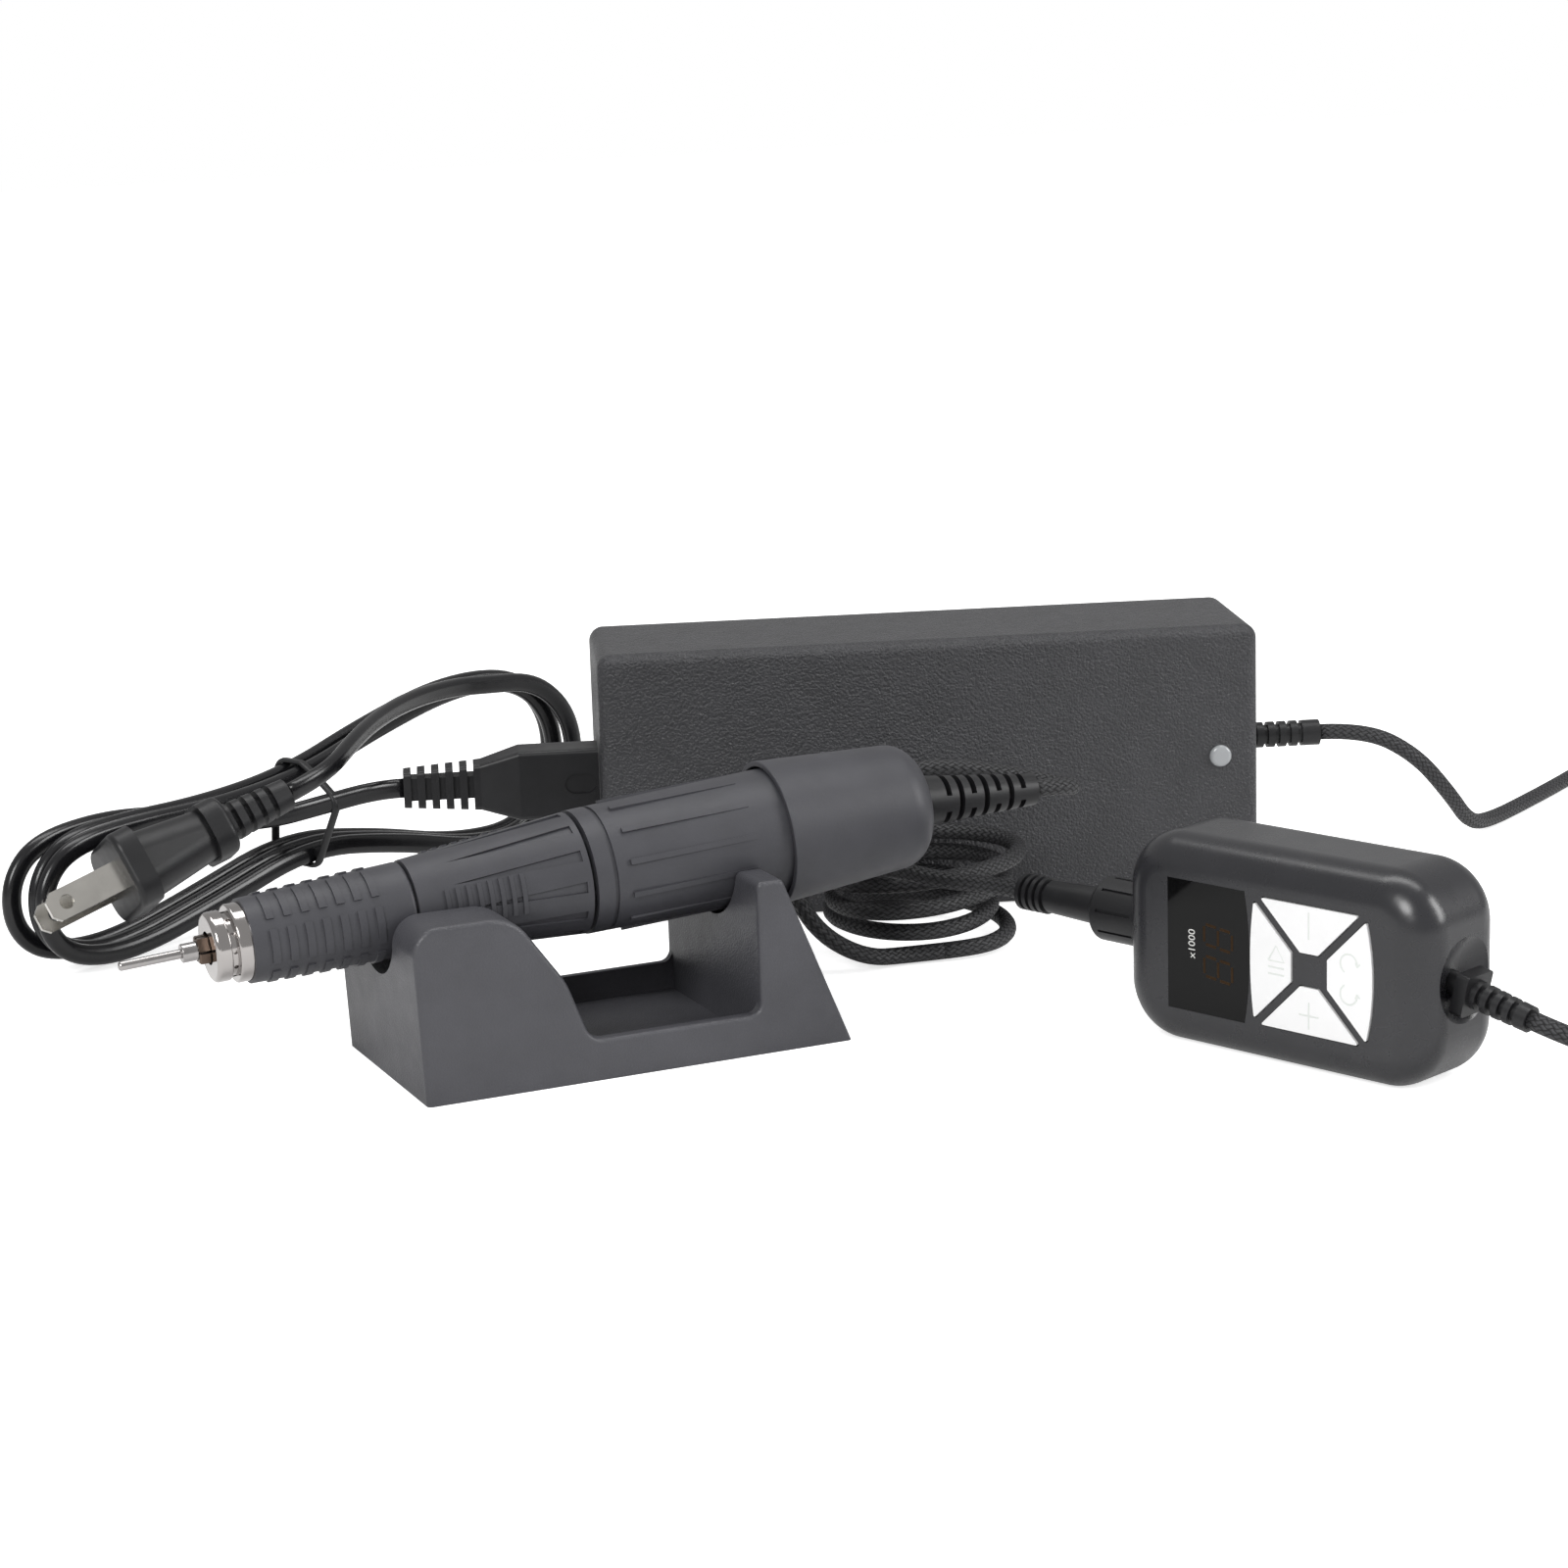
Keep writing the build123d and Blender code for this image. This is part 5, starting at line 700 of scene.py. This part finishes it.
@dataclass(frozen=True)
class Tie:
    """The band round the wound mains cord."""

    place: Place = Place((-19.951, 125.195, 0.0), (-0.39555, 0.91845, 0.0), (0.91845, 0.39555, 0.0))
    lowest: float = 10.0
    highest: float = 38.0
    reach: float = 14.0
    cord_radius: float = 2.35
    thickness: float = 1.1
    width: float = 2.2
    points: int = 64
    sides: int = 10

    def crossings(self, line: Route) -> List[Flat]:
        """Returns where the cord passes through the band, in millimetres across and up."""
        inward = self.place.axes().inverted()
        local = [(inward @ point) / MM for point in line]
        found = []
        for a, b in zip(local, local[1:]):
            if (a.z < 0.0) == (b.z < 0.0):
                continue
            met = a.lerp(b, a.z / (a.z - b.z))
            if self.lowest < met.y < self.highest and abs(met.x) < self.reach:
                found.append((met.x, met.y))
        return found

    def hull(self, cores: Sequence[Flat]) -> List[Flat]:
        """Returns the taut outline round the cords, evenly stepped.

        Args:
            cores: The cords' middles, in millimetres across and up.

        Returns:
            The band's middle line, in millimetres.
        """
        reach = self.cord_radius + self.thickness / 2
        middle = (sum(x for x, _ in cores) / len(cores), sum(y for _, y in cores) / len(cores))
        outline = []
        for index in range(self.points):
            angle = 2 * math.pi * index / self.points
            way = (math.cos(angle), math.sin(angle))
            along = [(x - middle[0]) * way[0] + (y - middle[1]) * way[1] for x, y in cores]
            outline.append((max(along) + reach, way))
        # A place is the foot of the line that touches the cords, moved by the reach's slope.
        places = []
        for index, (reached, way) in enumerate(outline):
            last, following = outline[index - 1][0], outline[(index + 1) % self.points][0]
            slope = (following - last) / (4 * math.pi / self.points)
            places.append(
                (
                    middle[0] + reached * way[0] - slope * way[1],
                    middle[1] + reached * way[1] + slope * way[0],
                )
            )
        return places

    def make(self, strokes: Strokes, line: Route) -> None:
        """Makes the band in place of its plain solid, round the cord whose line is given."""
        loop = self.hull(self.crossings(line))
        mesh = strokes.mesh(
            "cord_tie",
            [loop],
            self.thickness,
            self.width,
            Finishes.MOULDED,
            closed=True,
            sides=self.sides,
        )
        mesh.transform(Matrix.Translation(Vector((0, 0, self.width / 2)) * MM))
        mesh.transform(self.place.axes())
        piece = keep(mesh, "cord_tie", Finishes.MOULDED, Rides.MAINS)
        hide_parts("mains_cord_tie")


@dataclass(frozen=True)
class Bundle:
    """The mains cord: out of the connector, wound in a bundle, and out to the plug."""

    place: Place = Place((-62.2, 107.0, 0.0), heading(23.3), (0.0, 0.0, 1.0))
    inlet: Place = Place((39.578, 98.147, 29.5), (0.0, 0.0, 1.0), (-0.94721, 0.32062, 0.0))
    step: float = 4.8
    width: float = 4.4
    height: float = 3.5
    connector_reach: float = 43.0
    connector_straight: float = 5.67
    wound_from: float = 0.25
    wound_to: float = 0.5
    lead: Tuple[Triple, ...] = (
        (45.5, -5.4, 26.0),
        (37.5, 1.0, 23.8),
        (29.5, 6.2, 23.9),
        (22.5, 9.0, 25.8),
    )
    loop: Tuple[Flat, ...] = (
        (-3, 30.0),
        (-20, 28.4),
        (-27, 21.4),
        (-27, 11.6),
        (-20, 4.6),
        (-3, 3.0),
        (21, 8.6),
        (47, 15.8),
        (73, 11.6),
        (98, 5.0),
        (119.7, 4.6),
        (130.5, 15.4),
        (130.5, 30.8),
        (119.7, 41.6),
        (97, 43.2),
        (72, 37.6),
        (47, 31.2),
        (22, 29.6),
    )
    shifts: Tuple[float, ...] = (0.0, 3.2, 1.4)
    shift_below: float = -3.0
    shift_above: float = 98.0
    climb_from: int = 15
    climb_corners: int = 2
    last_corners: int = 14
    first_corner: Flat = (14.0, 28.0)
    last_corner: Flat = (101.0, 43.4)
    tail: Tuple[Triple, ...] = ((77, -3.5, 44.8), (61, -10, 44.2), (46, -18, 42.4))
    tail_end: Triple = (-33.1, 94.2, 35.4)
    plug_heading: Triple = (-0.945, -0.131, -0.301)
    plug_approach: float = 10.0

    def winding(self) -> List[Triple]:
        """Returns the bundle's own points: each layer lies in front of the one before it."""
        layers = len(self.shifts)
        along, up = self.first_corner
        points: List[Triple] = [(along, (layers - 1) * self.step, up)]
        for layer, shift in enumerate(self.shifts):
            corners = self.loop if layer < layers - 1 else self.loop[: self.last_corners]
            for index, (along, up) in enumerate(corners):
                climb = max(0.0, min(1.0, (index - self.climb_from) / self.climb_corners))
                behind = (layers - 1 - layer - climb) * self.step
                inwards = 0.0
                if along < self.shift_below:
                    inwards = shift
                elif along > self.shift_above:
                    inwards = -shift
                points.append((along + inwards, behind, up))
        along, up = self.last_corner
        points.append((along, 0.0, up))
        return points

    def points(self) -> Route:
        """Returns the whole cord's points, from the connector to the plug."""
        wound = self.place.route(self.winding())
        towards_plug = Vector(self.plug_heading).normalized()
        end = Vector(self.tail_end) * MM
        return [
            self.inlet.at(0, 0, self.connector_reach),
            self.inlet.at(0, 0, self.connector_reach + self.connector_straight),
            *self.place.route(self.lead),
            before(wound, self.wound_from),
            *wound,
            before(wound[::-1], self.wound_to),
            *self.place.route(self.tail),
            end - towards_plug * self.plug_approach * MM,
            end,
        ]

    def make(self, strokes: Strokes) -> None:
        """Lays the mains cord and puts its tie round it."""
        cord = Cord("mains_cord", self.points(), self.width, self.height, Finishes.SHEATH)
        Tie().make(strokes, cord.line)
        cord.lay(
            Rides.MAINS,
            ("mains_cord_lead", "mains_cord_hank", "mains_cord_tail"),
            far_end="plug",
            stiffness="medium",
            lay="coiled",
            extras=("mains_plug", "mains_plug_blades", "cord_tie"),
            slot="cord_pvc",
        )


@dataclass(frozen=True)
class DrillCord:
    """The braided cord from the controller, through a loose coil, to the drill."""

    diameter: float = 3.6
    boot: Place = Place((89.480, -9.359, 20.6), (0, 0, 1), (-0.35837, 0.93358, 0))
    boot_straight: float = 9.0
    lead: Triple = (78.6, 8.4, 20.4)
    centre: Flat = (88.0, 38.0)
    top: float = 21.1
    pitch: float = 4.85
    length: float = 44.0
    width: float = 34.0
    lean: float = -20.0
    fan: float = 33.0
    drift: float = 1.2
    wander: float = 1.9
    start_angle: float = 205.0
    turns: float = 3.875
    points_per_turn: int = 16
    tail: Tuple[Triple, ...] = (
        (67, 19.6, 2.8),
        (58, 23.6, 8.6),
        (54.5, 29, 18),
        (58.5, 31, 28),
        (67.5, 26, 37),
        (80, 18, 42.3),
        (93, 15.6, 40.6),
        (104.2, 14.9, 37.6),
        (108.6, 10.5, 36.6),
        (108.4, 4.4, 37.2),
    )
    relief: Place = Place((96.171, 0.0, 39.096), (0, 1, 0), (0.99978, 0, -0.02094))
    relief_straight: float = 7.9
    coil_from: float = 1.5
    coil_to: float = 1.0
    fixed_end: Triple = (84.1, 0.0, 2.3)
    lifted_end: Triple = (106.5, 0.0, 28.8)

    def coil(self) -> Route:
        """Returns the loose coil's points, each turn a little off the last."""
        count = round(self.turns * self.points_per_turn)
        reach = 1 / math.cos(math.pi / self.points_per_turn)
        points: List[Triple] = []
        for index in range(count + 1):
            turn = index / self.points_per_turn
            angle = math.radians(self.start_angle - 360 * turn)
            lean = math.radians(self.lean + self.fan * turn)
            along = self.length / 2 * reach * math.cos(angle - lean)
            beside = self.width / 2 * reach * math.sin(angle - lean)
            middle = (
                self.centre[0] + self.drift * math.sin(self.wander * turn),
                self.centre[1] + self.drift * math.cos(self.wander * turn),
            )
            points.append(
                (
                    middle[0] + along * math.cos(lean) - beside * math.sin(lean),
                    middle[1] + along * math.sin(lean) + beside * math.cos(lean),
                    self.top - self.pitch * turn,
                )
            )
        return metres(points)

    def make(self) -> None:
        coil = self.coil()
        near = [
            self.boot.at(0, 0),
            self.boot.at(0, 0, self.boot_straight),
            *metres([self.lead]),
            before(coil, self.coil_from),
            *coil,
        ]
        lead = Cord("handpiece_cord_near", near, self.diameter, self.diameter, Finishes.BRAID)
        lead.lay(
            Rides.KIT,
            ("handpiece_cord_lead", "handpiece_cord_coil"),
            far_end="object",
            stiffness="limp",
            lay="loose",
        )
        far = [
            coil[-1],
            before(coil[::-1], self.coil_to),
            *metres(self.tail),
            self.relief.at(0, 0, self.relief_straight),
            self.relief.at(0, 0),
        ]
        run = Cord("handpiece_cord_run", far, self.diameter, self.diameter, Finishes.BRAID)
        piece = run.lay(
            Rides.KIT,
            ("handpiece_cord_tail",),
            far_end="object",
            stiffness="limp",
            lay="loose",
        )
        piece.parent = None
        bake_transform(piece)


@dataclass(frozen=True)
class SupplyCord:
    """The braided cord from the adapter, through a coil out of view, to the controller."""

    diameter: float = 3.6
    outlet: Place = Place((194.869, 48.223, 31.0), (0, 0, 1), (0.94721, -0.32061, 0))
    outlet_straight: float = 11.0
    first: Tuple[Triple, ...] = (
        (216.5, 41.4, 24.5),
        (226.5, 42.5, 14),
        (237, 49.5, 4.2),
        (249.5, 58.5, 1.9),
        (265, 68, 1.9),
        (283, 79.5, 1.9),
        (299, 90.5, 1.9),
        (313, 92.5, 1.9),
        (325.5, 84.5, 1.9),
        (331.5, 71, 1.9),
    )
    centre: Flat = (300.0, 30.0)
    radius: float = 26.0
    step: float = 4.2
    turns: float = 6.125
    start_angle: float = 12.0
    points_per_turn: int = 16
    floor_gap: float = 0.05
    coil_from: float = 1.0
    coil_to: float = 0.75
    second: Tuple[Triple, ...] = (
        (312, -16, 4.4),
        (296, -30, 2.4),
        (276, -43, 1.9),
        (254, -62, 1.9),
        (231, -84, 1.9),
        (209, -105, 1.9),
        (186, -124, 1.9),
        (167, -137, 3.0),
        (151, -142, 8.0),
    )
    controller_end: Place = Place(
        (132.467, -121.344, 15.663), (0, 0, 1), (0.34918, -0.90965, -0.22495)
    )
    controller_straight: float = 9.0

    def coil(self) -> Route:
        """Returns the neat coil's points: inwards on the floor, then outwards on top."""
        count = round(self.turns * self.points_per_turn)
        reach = 1 / math.cos(math.pi / self.points_per_turn)
        points: List[Triple] = []
        for index in range(count + 1):
            turn = index / self.points_per_turn
            inwards = min(turn, self.turns - turn)
            climb = max(0.0, min(1.0, (turn - self.turns / 2) * 2 + 0.5))
            radius = (self.radius - self.step * inwards) * reach
            angle = math.radians(self.start_angle - 360 * turn)
            points.append(
                (
                    self.centre[0] + radius * math.cos(angle),
                    self.centre[1] + radius * math.sin(angle),
                    self.diameter / 2 + self.floor_gap + climb * self.step,
                )
            )
        return metres(points)

    def make(self) -> None:
        """Lays the cord."""
        coil = self.coil()
        points = [
            self.outlet.at(0, 0),
            self.outlet.at(0, 0, self.outlet_straight),
            *metres(self.first),
            before(coil, self.coil_from),
            *coil,
            before(coil[::-1], self.coil_to),
            *metres(self.second),
            self.controller_end.at(0, 0, self.controller_straight),
            self.controller_end.at(0, 0),
        ]
        cord = Cord("supply_cord", points, self.diameter, self.diameter, Finishes.BRAID)
        cord.lay(
            Rides.KIT,
            ("supply_cord_first", "supply_cord_coil", "supply_cord_second"),
            far_end="object",
            stiffness="limp",
            lay="loose",
        )


class Glyph(Enum):
    """The symbols on the controller's keys."""

    MINUS = "minus"
    PLUS = "plus"
    RUN = "run"
    DIRECTION = "direction"


@dataclass(frozen=True)
class Face:
    """The controller's front: the digits behind its window and the symbols on its keys.

    Places are across and up the face as its marks are read, sideways as the case stands.
    """

    place: Place = Place((102.950, -79.330, 20.6), (0.0, 0.0, 1.0), (-0.93358, -0.35837, 0.0))
    digit_height: float = 6.6
    digit_width: float = 3.9
    digit_slant: float = 0.12
    bar: float = 0.62
    gap: float = 0.45
    digit_middles: Tuple[Flat, ...] = ((-3.6, 11.4), (2.6, 11.4))
    window_rise: float = 0.0
    key_rise: float = 0.3
    stroke: float = 0.34
    film: float = 0.05
    scale_text: str = "x1000"
    scale_size: float = 2.3
    scale_middle: Flat = (0.6, 17.6)
    minus_strokes: Tuple[Tuple[Flat, ...], ...] = (((6.0, -9.95), (11.2, -9.95)),)
    plus_strokes: Tuple[Tuple[Flat, ...], ...] = (
        ((-11.2, -9.95), (-6.0, -9.95)),
        ((-8.6, -12.2), (-8.6, -7.7)),
    )
    run_strokes: Tuple[Tuple[Flat, ...], ...] = (
        ((0.6, -0.6), (0.6, -4.3), (3.6, -2.45), (0.6, -0.6)),
        ((-0.6, -4.3), (-0.6, -0.6)),
        ((-1.9, -4.3), (-1.9, -0.6)),
    )
    arrow_radius: float = 1.9
    arrow_head: float = 0.95
    arrow_flare: float = 0.6
    arrow_steps: int = 14
    arrow_turn: float = 250.0
    arrow_middles: Tuple[Flat, ...] = ((2.9, -19.0), (-2.9, -19.0))
    arrow_starts: Tuple[float, ...] = (150.0, 30.0)
    bar_sides: int = 6
    letter_steps: int = 3

    def segment_lines(self, middle: Flat) -> List[Stroke]:
        """Returns the seven bars of a digit, each a little short of two of its six corners."""
        half, tall, gap = self.digit_width / 2, self.digit_height / 2, self.gap
        bars = (
            ((-half + gap, tall), (half - gap, tall)),
            ((half, tall - gap), (half, gap)),
            ((half, -gap), (half, -tall + gap)),
            ((-half + gap, -tall), (half - gap, -tall)),
            ((-half, -gap), (-half, -tall + gap)),
            ((-half, tall - gap), (-half, gap)),
            ((-half + gap, 0.0), (half - gap, 0.0)),
        )
        slant = self.digit_slant
        return [[(middle[0] + x + y * slant, middle[1] + y) for x, y in ends] for ends in bars]

    def arrow(self, middle: Flat, start: float, turn: float) -> List[Stroke]:
        """Returns a round arrow: its arc and the two strokes of its head.

        Args:
            middle: The arc's middle.
            start: The angle where the arc starts, in degrees.
            turn: How far it goes round, in degrees.

        Returns:
            The strokes, in millimetres.
        """
        arc: Stroke = []
        for step in range(self.arrow_steps + 1):
            angle = math.radians(start + turn * step / self.arrow_steps)
            arc.append(
                (
                    middle[0] + self.arrow_radius * math.cos(angle),
                    middle[1] + self.arrow_radius * math.sin(angle),
                )
            )
        tip = arc[-1]
        onward = math.radians(start + turn) + math.copysign(math.pi / 2, turn)
        barbs: List[Stroke] = []
        for side in (-1, 1):
            back = onward + math.pi + side * self.arrow_flare
            barb = (
                tip[0] + self.arrow_head * math.cos(back),
                tip[1] + self.arrow_head * math.sin(back),
            )
            barbs.append([barb, tip])
        return [arc, *barbs]

    def glyph_lines(self, glyph: Glyph) -> List[Stroke]:
        """Returns the strokes of a key's symbol."""
        drawn = {
            Glyph.MINUS: self.minus_strokes,
            Glyph.PLUS: self.plus_strokes,
            Glyph.RUN: self.run_strokes,
        }
        if glyph in drawn:
            return [list(stroke) for stroke in drawn[glyph]]
        arrows: List[Stroke] = []
        ways = (-self.arrow_turn, self.arrow_turn)
        for middle, start, turn in zip(self.arrow_middles, self.arrow_starts, ways):
            arrows += self.arrow(middle, start, turn)
        return arrows

    def put(
        self,
        mesh: bpy.types.Mesh,
        name: str,
        rise: float,
        finish: Finish,
        body: Rides,
    ) -> None:
        """Lays a mesh on the face.

        Args:
            mesh: The mesh, about the face's plane.
            name: The piece's name.
            rise: How far it stands over the face, in millimetres.
            finish: What it is finished in.
            body: What it moves with.
        """
        mesh.transform(Matrix.Translation(Vector((0, 0, rise)) * MM))
        mesh.transform(self.place.axes())
        piece = keep(mesh, name, finish, body)

    def scale(self) -> bpy.types.Mesh:
        """Returns the plain multiplier printed beside the digits, as a thin mesh."""
        words = bpy.data.curves.new("scale_print", "FONT")
        words.body = self.scale_text
        words.size = self.scale_size * MM
        words.align_x = "CENTER"
        words.align_y = "CENTER"
        words.extrude = self.film * MM / 2
        words.resolution_u = self.letter_steps
        holder = bpy.data.objects.new("scale_print", words)
        bpy.context.scene.collection.objects.link(holder)
        mesh = baked(holder)
        mesh.transform(Matrix.Translation(Vector((*self.scale_middle, 0)) * MM))
        return mesh

    def make(self, strokes: Strokes) -> None:
        """Makes the digits, the multiplier and the keys' symbols."""
        bars = [line for middle in self.digit_middles for line in self.segment_lines(middle)]
        digits = strokes.mesh(
            "speed_digits", bars, self.bar, self.film, Finishes.SEGMENT, sides=self.bar_sides
        )
        rise, slot = self.window_rise, "window_black"
        self.put(digits, "speed_digits", rise, Finishes.SEGMENT, Rides.KIT)
        self.put(self.scale(), "speed_multiplier", rise, Finishes.PRINT, Rides.KIT)
        marks = {
            Glyph.MINUS: Rides.MINUS,
            Glyph.PLUS: Rides.PLUS,
            Glyph.RUN: Rides.RUN,
            Glyph.DIRECTION: Rides.DIRECTION,
        }
        for glyph, body in marks.items():
            name = glyph.value + "_symbol"
            lines = self.glyph_lines(glyph)
            mesh = strokes.mesh(name, lines, self.stroke, self.film, Finishes.KEY_MARK)
            self.put(mesh, name, self.key_rise, Finishes.KEY_MARK, body)


class Studio:
    """The camera, the floor and the lamps."""

    EYE: Triple = (-247.56, -651.28, 207.27)
    AIM: Triple = (0.05, 0.0, 0.03)
    TURN = 0.4171
    PITCH = 0.2215
    ROLL = -0.0322
    LENS = 85.0
    SENSOR = 36.0
    CLIP = (0.01, 20.0)
    FLOOR_SIZE = 6.0
    FLOOR_CELLS = 4
    FLOOR_TONE = (0.86, 0.86, 0.86, 1.0)
    FLOOR_GLOW = 0.68
    FLOOR_GLOSS = 0.10
    SKY_LIGHT = 0.38
    SKY_GLOSS = 0.12
    LAMPS: Tuple[Tuple[str, Triple, Flat, float], ...] = (
        ("key", (-0.75, -0.75, 0.75), (0.5, 0.5), 11.0),
        ("top", (0.15, 0.10, 1.0), (1.1, 0.25), 5.0),
        ("fill", (0.85, -0.6, 0.5), (0.35, 0.6), 6.5),
    )

    def camera(self) -> None:
        """Puts the camera where the photograph was taken."""
        ahead = Vector(
            (
                math.sin(self.TURN) * math.cos(self.PITCH),
                math.cos(self.TURN) * math.cos(self.PITCH),
                -math.sin(self.PITCH),
            )
        )
        level = Vector((math.cos(self.TURN), -math.sin(self.TURN), 0.0))
        above = level.cross(ahead)
        right = level * math.cos(self.ROLL) + above * math.sin(self.ROLL)
        up = above * math.cos(self.ROLL) - level * math.sin(self.ROLL)
        data = bpy.data.cameras.new("photo_camera")
        data.lens = self.LENS
        data.sensor_width = self.SENSOR
        data.clip_start, data.clip_end = self.CLIP
        camera = bpy.data.objects.new("photo_camera", data)
        turn = Matrix((right, up, -ahead)).transposed().to_4x4()
        camera.matrix_world = Matrix.Translation(Vector(self.EYE) * MM) @ turn
        bpy.context.scene.collection.objects.link(camera)
        bpy.context.scene.camera = camera

    def lamp(self, name: str, place: Triple, size: Flat, power: float) -> None:
        """Args:
            name: The lamp's name.
            place: Where it stands, in metres.
            size: Its width and height, in metres.
            power: Its power, in watts.
        """
        data = bpy.data.lights.new(name, "AREA")
        data.shape = "RECTANGLE"
        data.size, data.size_y = size
        data.energy = power
        lamp = bpy.data.objects.new(name, data)
        aim = (Vector(self.AIM) - Vector(place)).to_track_quat("-Z", "Y")
        lamp.matrix_world = Matrix.Translation(Vector(place)) @ aim.to_matrix().to_4x4()
        bpy.context.scene.collection.objects.link(lamp)

    def paint_floor(self, material: bpy.types.Material) -> None:
        """Makes the floor white to the eye and dim to gloss, while it keeps its shadows."""
        material.use_nodes = True
        tree = material.node_tree
        tree.nodes.clear()
        path = tree.nodes.new("ShaderNodeLightPath")
        lit = tree.nodes.new("ShaderNodeBsdfDiffuse")
        lit.inputs["Color"].default_value = self.FLOOR_TONE
        glow = tree.nodes.new("ShaderNodeEmission")
        strength = self.seen(tree, path, self.FLOOR_GLOW, self.FLOOR_GLOSS)
        tree.links.new(strength, glow.inputs["Strength"])
        both = tree.nodes.new("ShaderNodeAddShader")
        tree.links.new(lit.outputs[0], both.inputs[0])
        tree.links.new(glow.outputs[0], both.inputs[1])
        out = tree.nodes.new("ShaderNodeOutputMaterial")
        tree.links.new(both.outputs[0], out.inputs["Surface"])

    def seen(
        self, tree: bpy.types.NodeTree, path: bpy.types.Node, to_eye: float, to_gloss: float
    ) -> Socket:
        """Returns a strength for rays from the eye, and another for those off gloss or in glass.

        Args:
            tree: The material's or the world's nodes.
            path: Its Light Path node.
            to_eye: The strength that the eye sees.
            to_gloss: The strength that gloss and glass show.

        Returns:
            The socket that carries the strength, which is 0 for other rays.
        """
        shares: List[Socket] = []
        rays = {"Camera": to_eye, "Glossy": to_gloss, "Transmission": to_gloss}
        for name, strength in rays.items():
            share = tree.nodes.new("ShaderNodeMath")
            share.operation = "MULTIPLY"
            share.inputs[1].default_value = strength
            tree.links.new(path.outputs[f"Is {name} Ray"], share.inputs[0])
            shares.append(share.outputs[0])
        answer = shares[0]
        for share in shares[1:]:
            most = tree.nodes.new("ShaderNodeMath")
            most.operation = "MAXIMUM"
            tree.links.new(answer, most.inputs[0])
            tree.links.new(share, most.inputs[1])
            answer = most.outputs[0]
        return answer

    def sky(self) -> None:
        world = bpy.data.worlds.new("studio")
        bpy.context.scene.world = world
        world.use_nodes = True
        tree = world.node_tree
        glow = tree.nodes["Background"]
        glow.inputs["Color"].default_value = (1.0, 1.0, 1.0, 1.0)
        path = tree.nodes.new("ShaderNodeLightPath")
        seen = self.seen(tree, path, 1.0 - self.SKY_LIGHT, self.SKY_GLOSS)
        strength = tree.nodes.new("ShaderNodeMath")
        strength.operation = "ADD"
        strength.inputs[1].default_value = self.SKY_LIGHT
        tree.links.new(seen, strength.inputs[0])
        tree.links.new(strength.outputs[0], glow.inputs["Strength"])

    def make(self) -> None:
        """Sets the studio up."""
        self.camera()
        built = bmesh.new()
        cells = self.FLOOR_CELLS
        bmesh.ops.create_grid(built, x_segments=cells, y_segments=cells, size=self.FLOOR_SIZE / 2)
        mesh = bpy.data.meshes.new("floor")
        built.to_mesh(mesh)
        built.free()
        material = bpy.data.materials.new("pale_floor")
        self.paint_floor(material)
        mesh.materials.append(material)
        floor = bpy.data.objects.new("floor", mesh)
        bpy.context.scene.collection.objects.link(floor)
        floor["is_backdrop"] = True
        self.sky()
        for lamp in self.LAMPS:
            self.lamp(*lamp)
        bpy.context.scene.view_settings.view_transform = "Standard"


def dress_nodes(nodes: Dict[str, bpy.types.Object]) -> None:
    """Gives every solid that shows its finish."""
    for name, finish in NODE_FINISHES.items():
        data = nodes[name].data
        material = finish.material()
        if data.materials:
            for slot in range(len(data.materials)):
                data.materials[slot] = material
        else:
            data.materials.append(material)
        log.info("%s: %s", name, finish.name)


def corners() -> List[List[float]]:
    """Returns the box round the object as plain lists."""
    return [list(corner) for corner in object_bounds()]


def main() -> None:
    logging.basicConfig(level=logging.INFO, format="%(message)s")
    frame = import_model()
    Studio().make()
    strokes = Strokes()
    Bundle().make(strokes)
    DrillCord().make()
    SupplyCord().make()
    Face().make(strokes)
    dress_nodes(frame["nodes"])


if __name__ == "__main__":
    main()
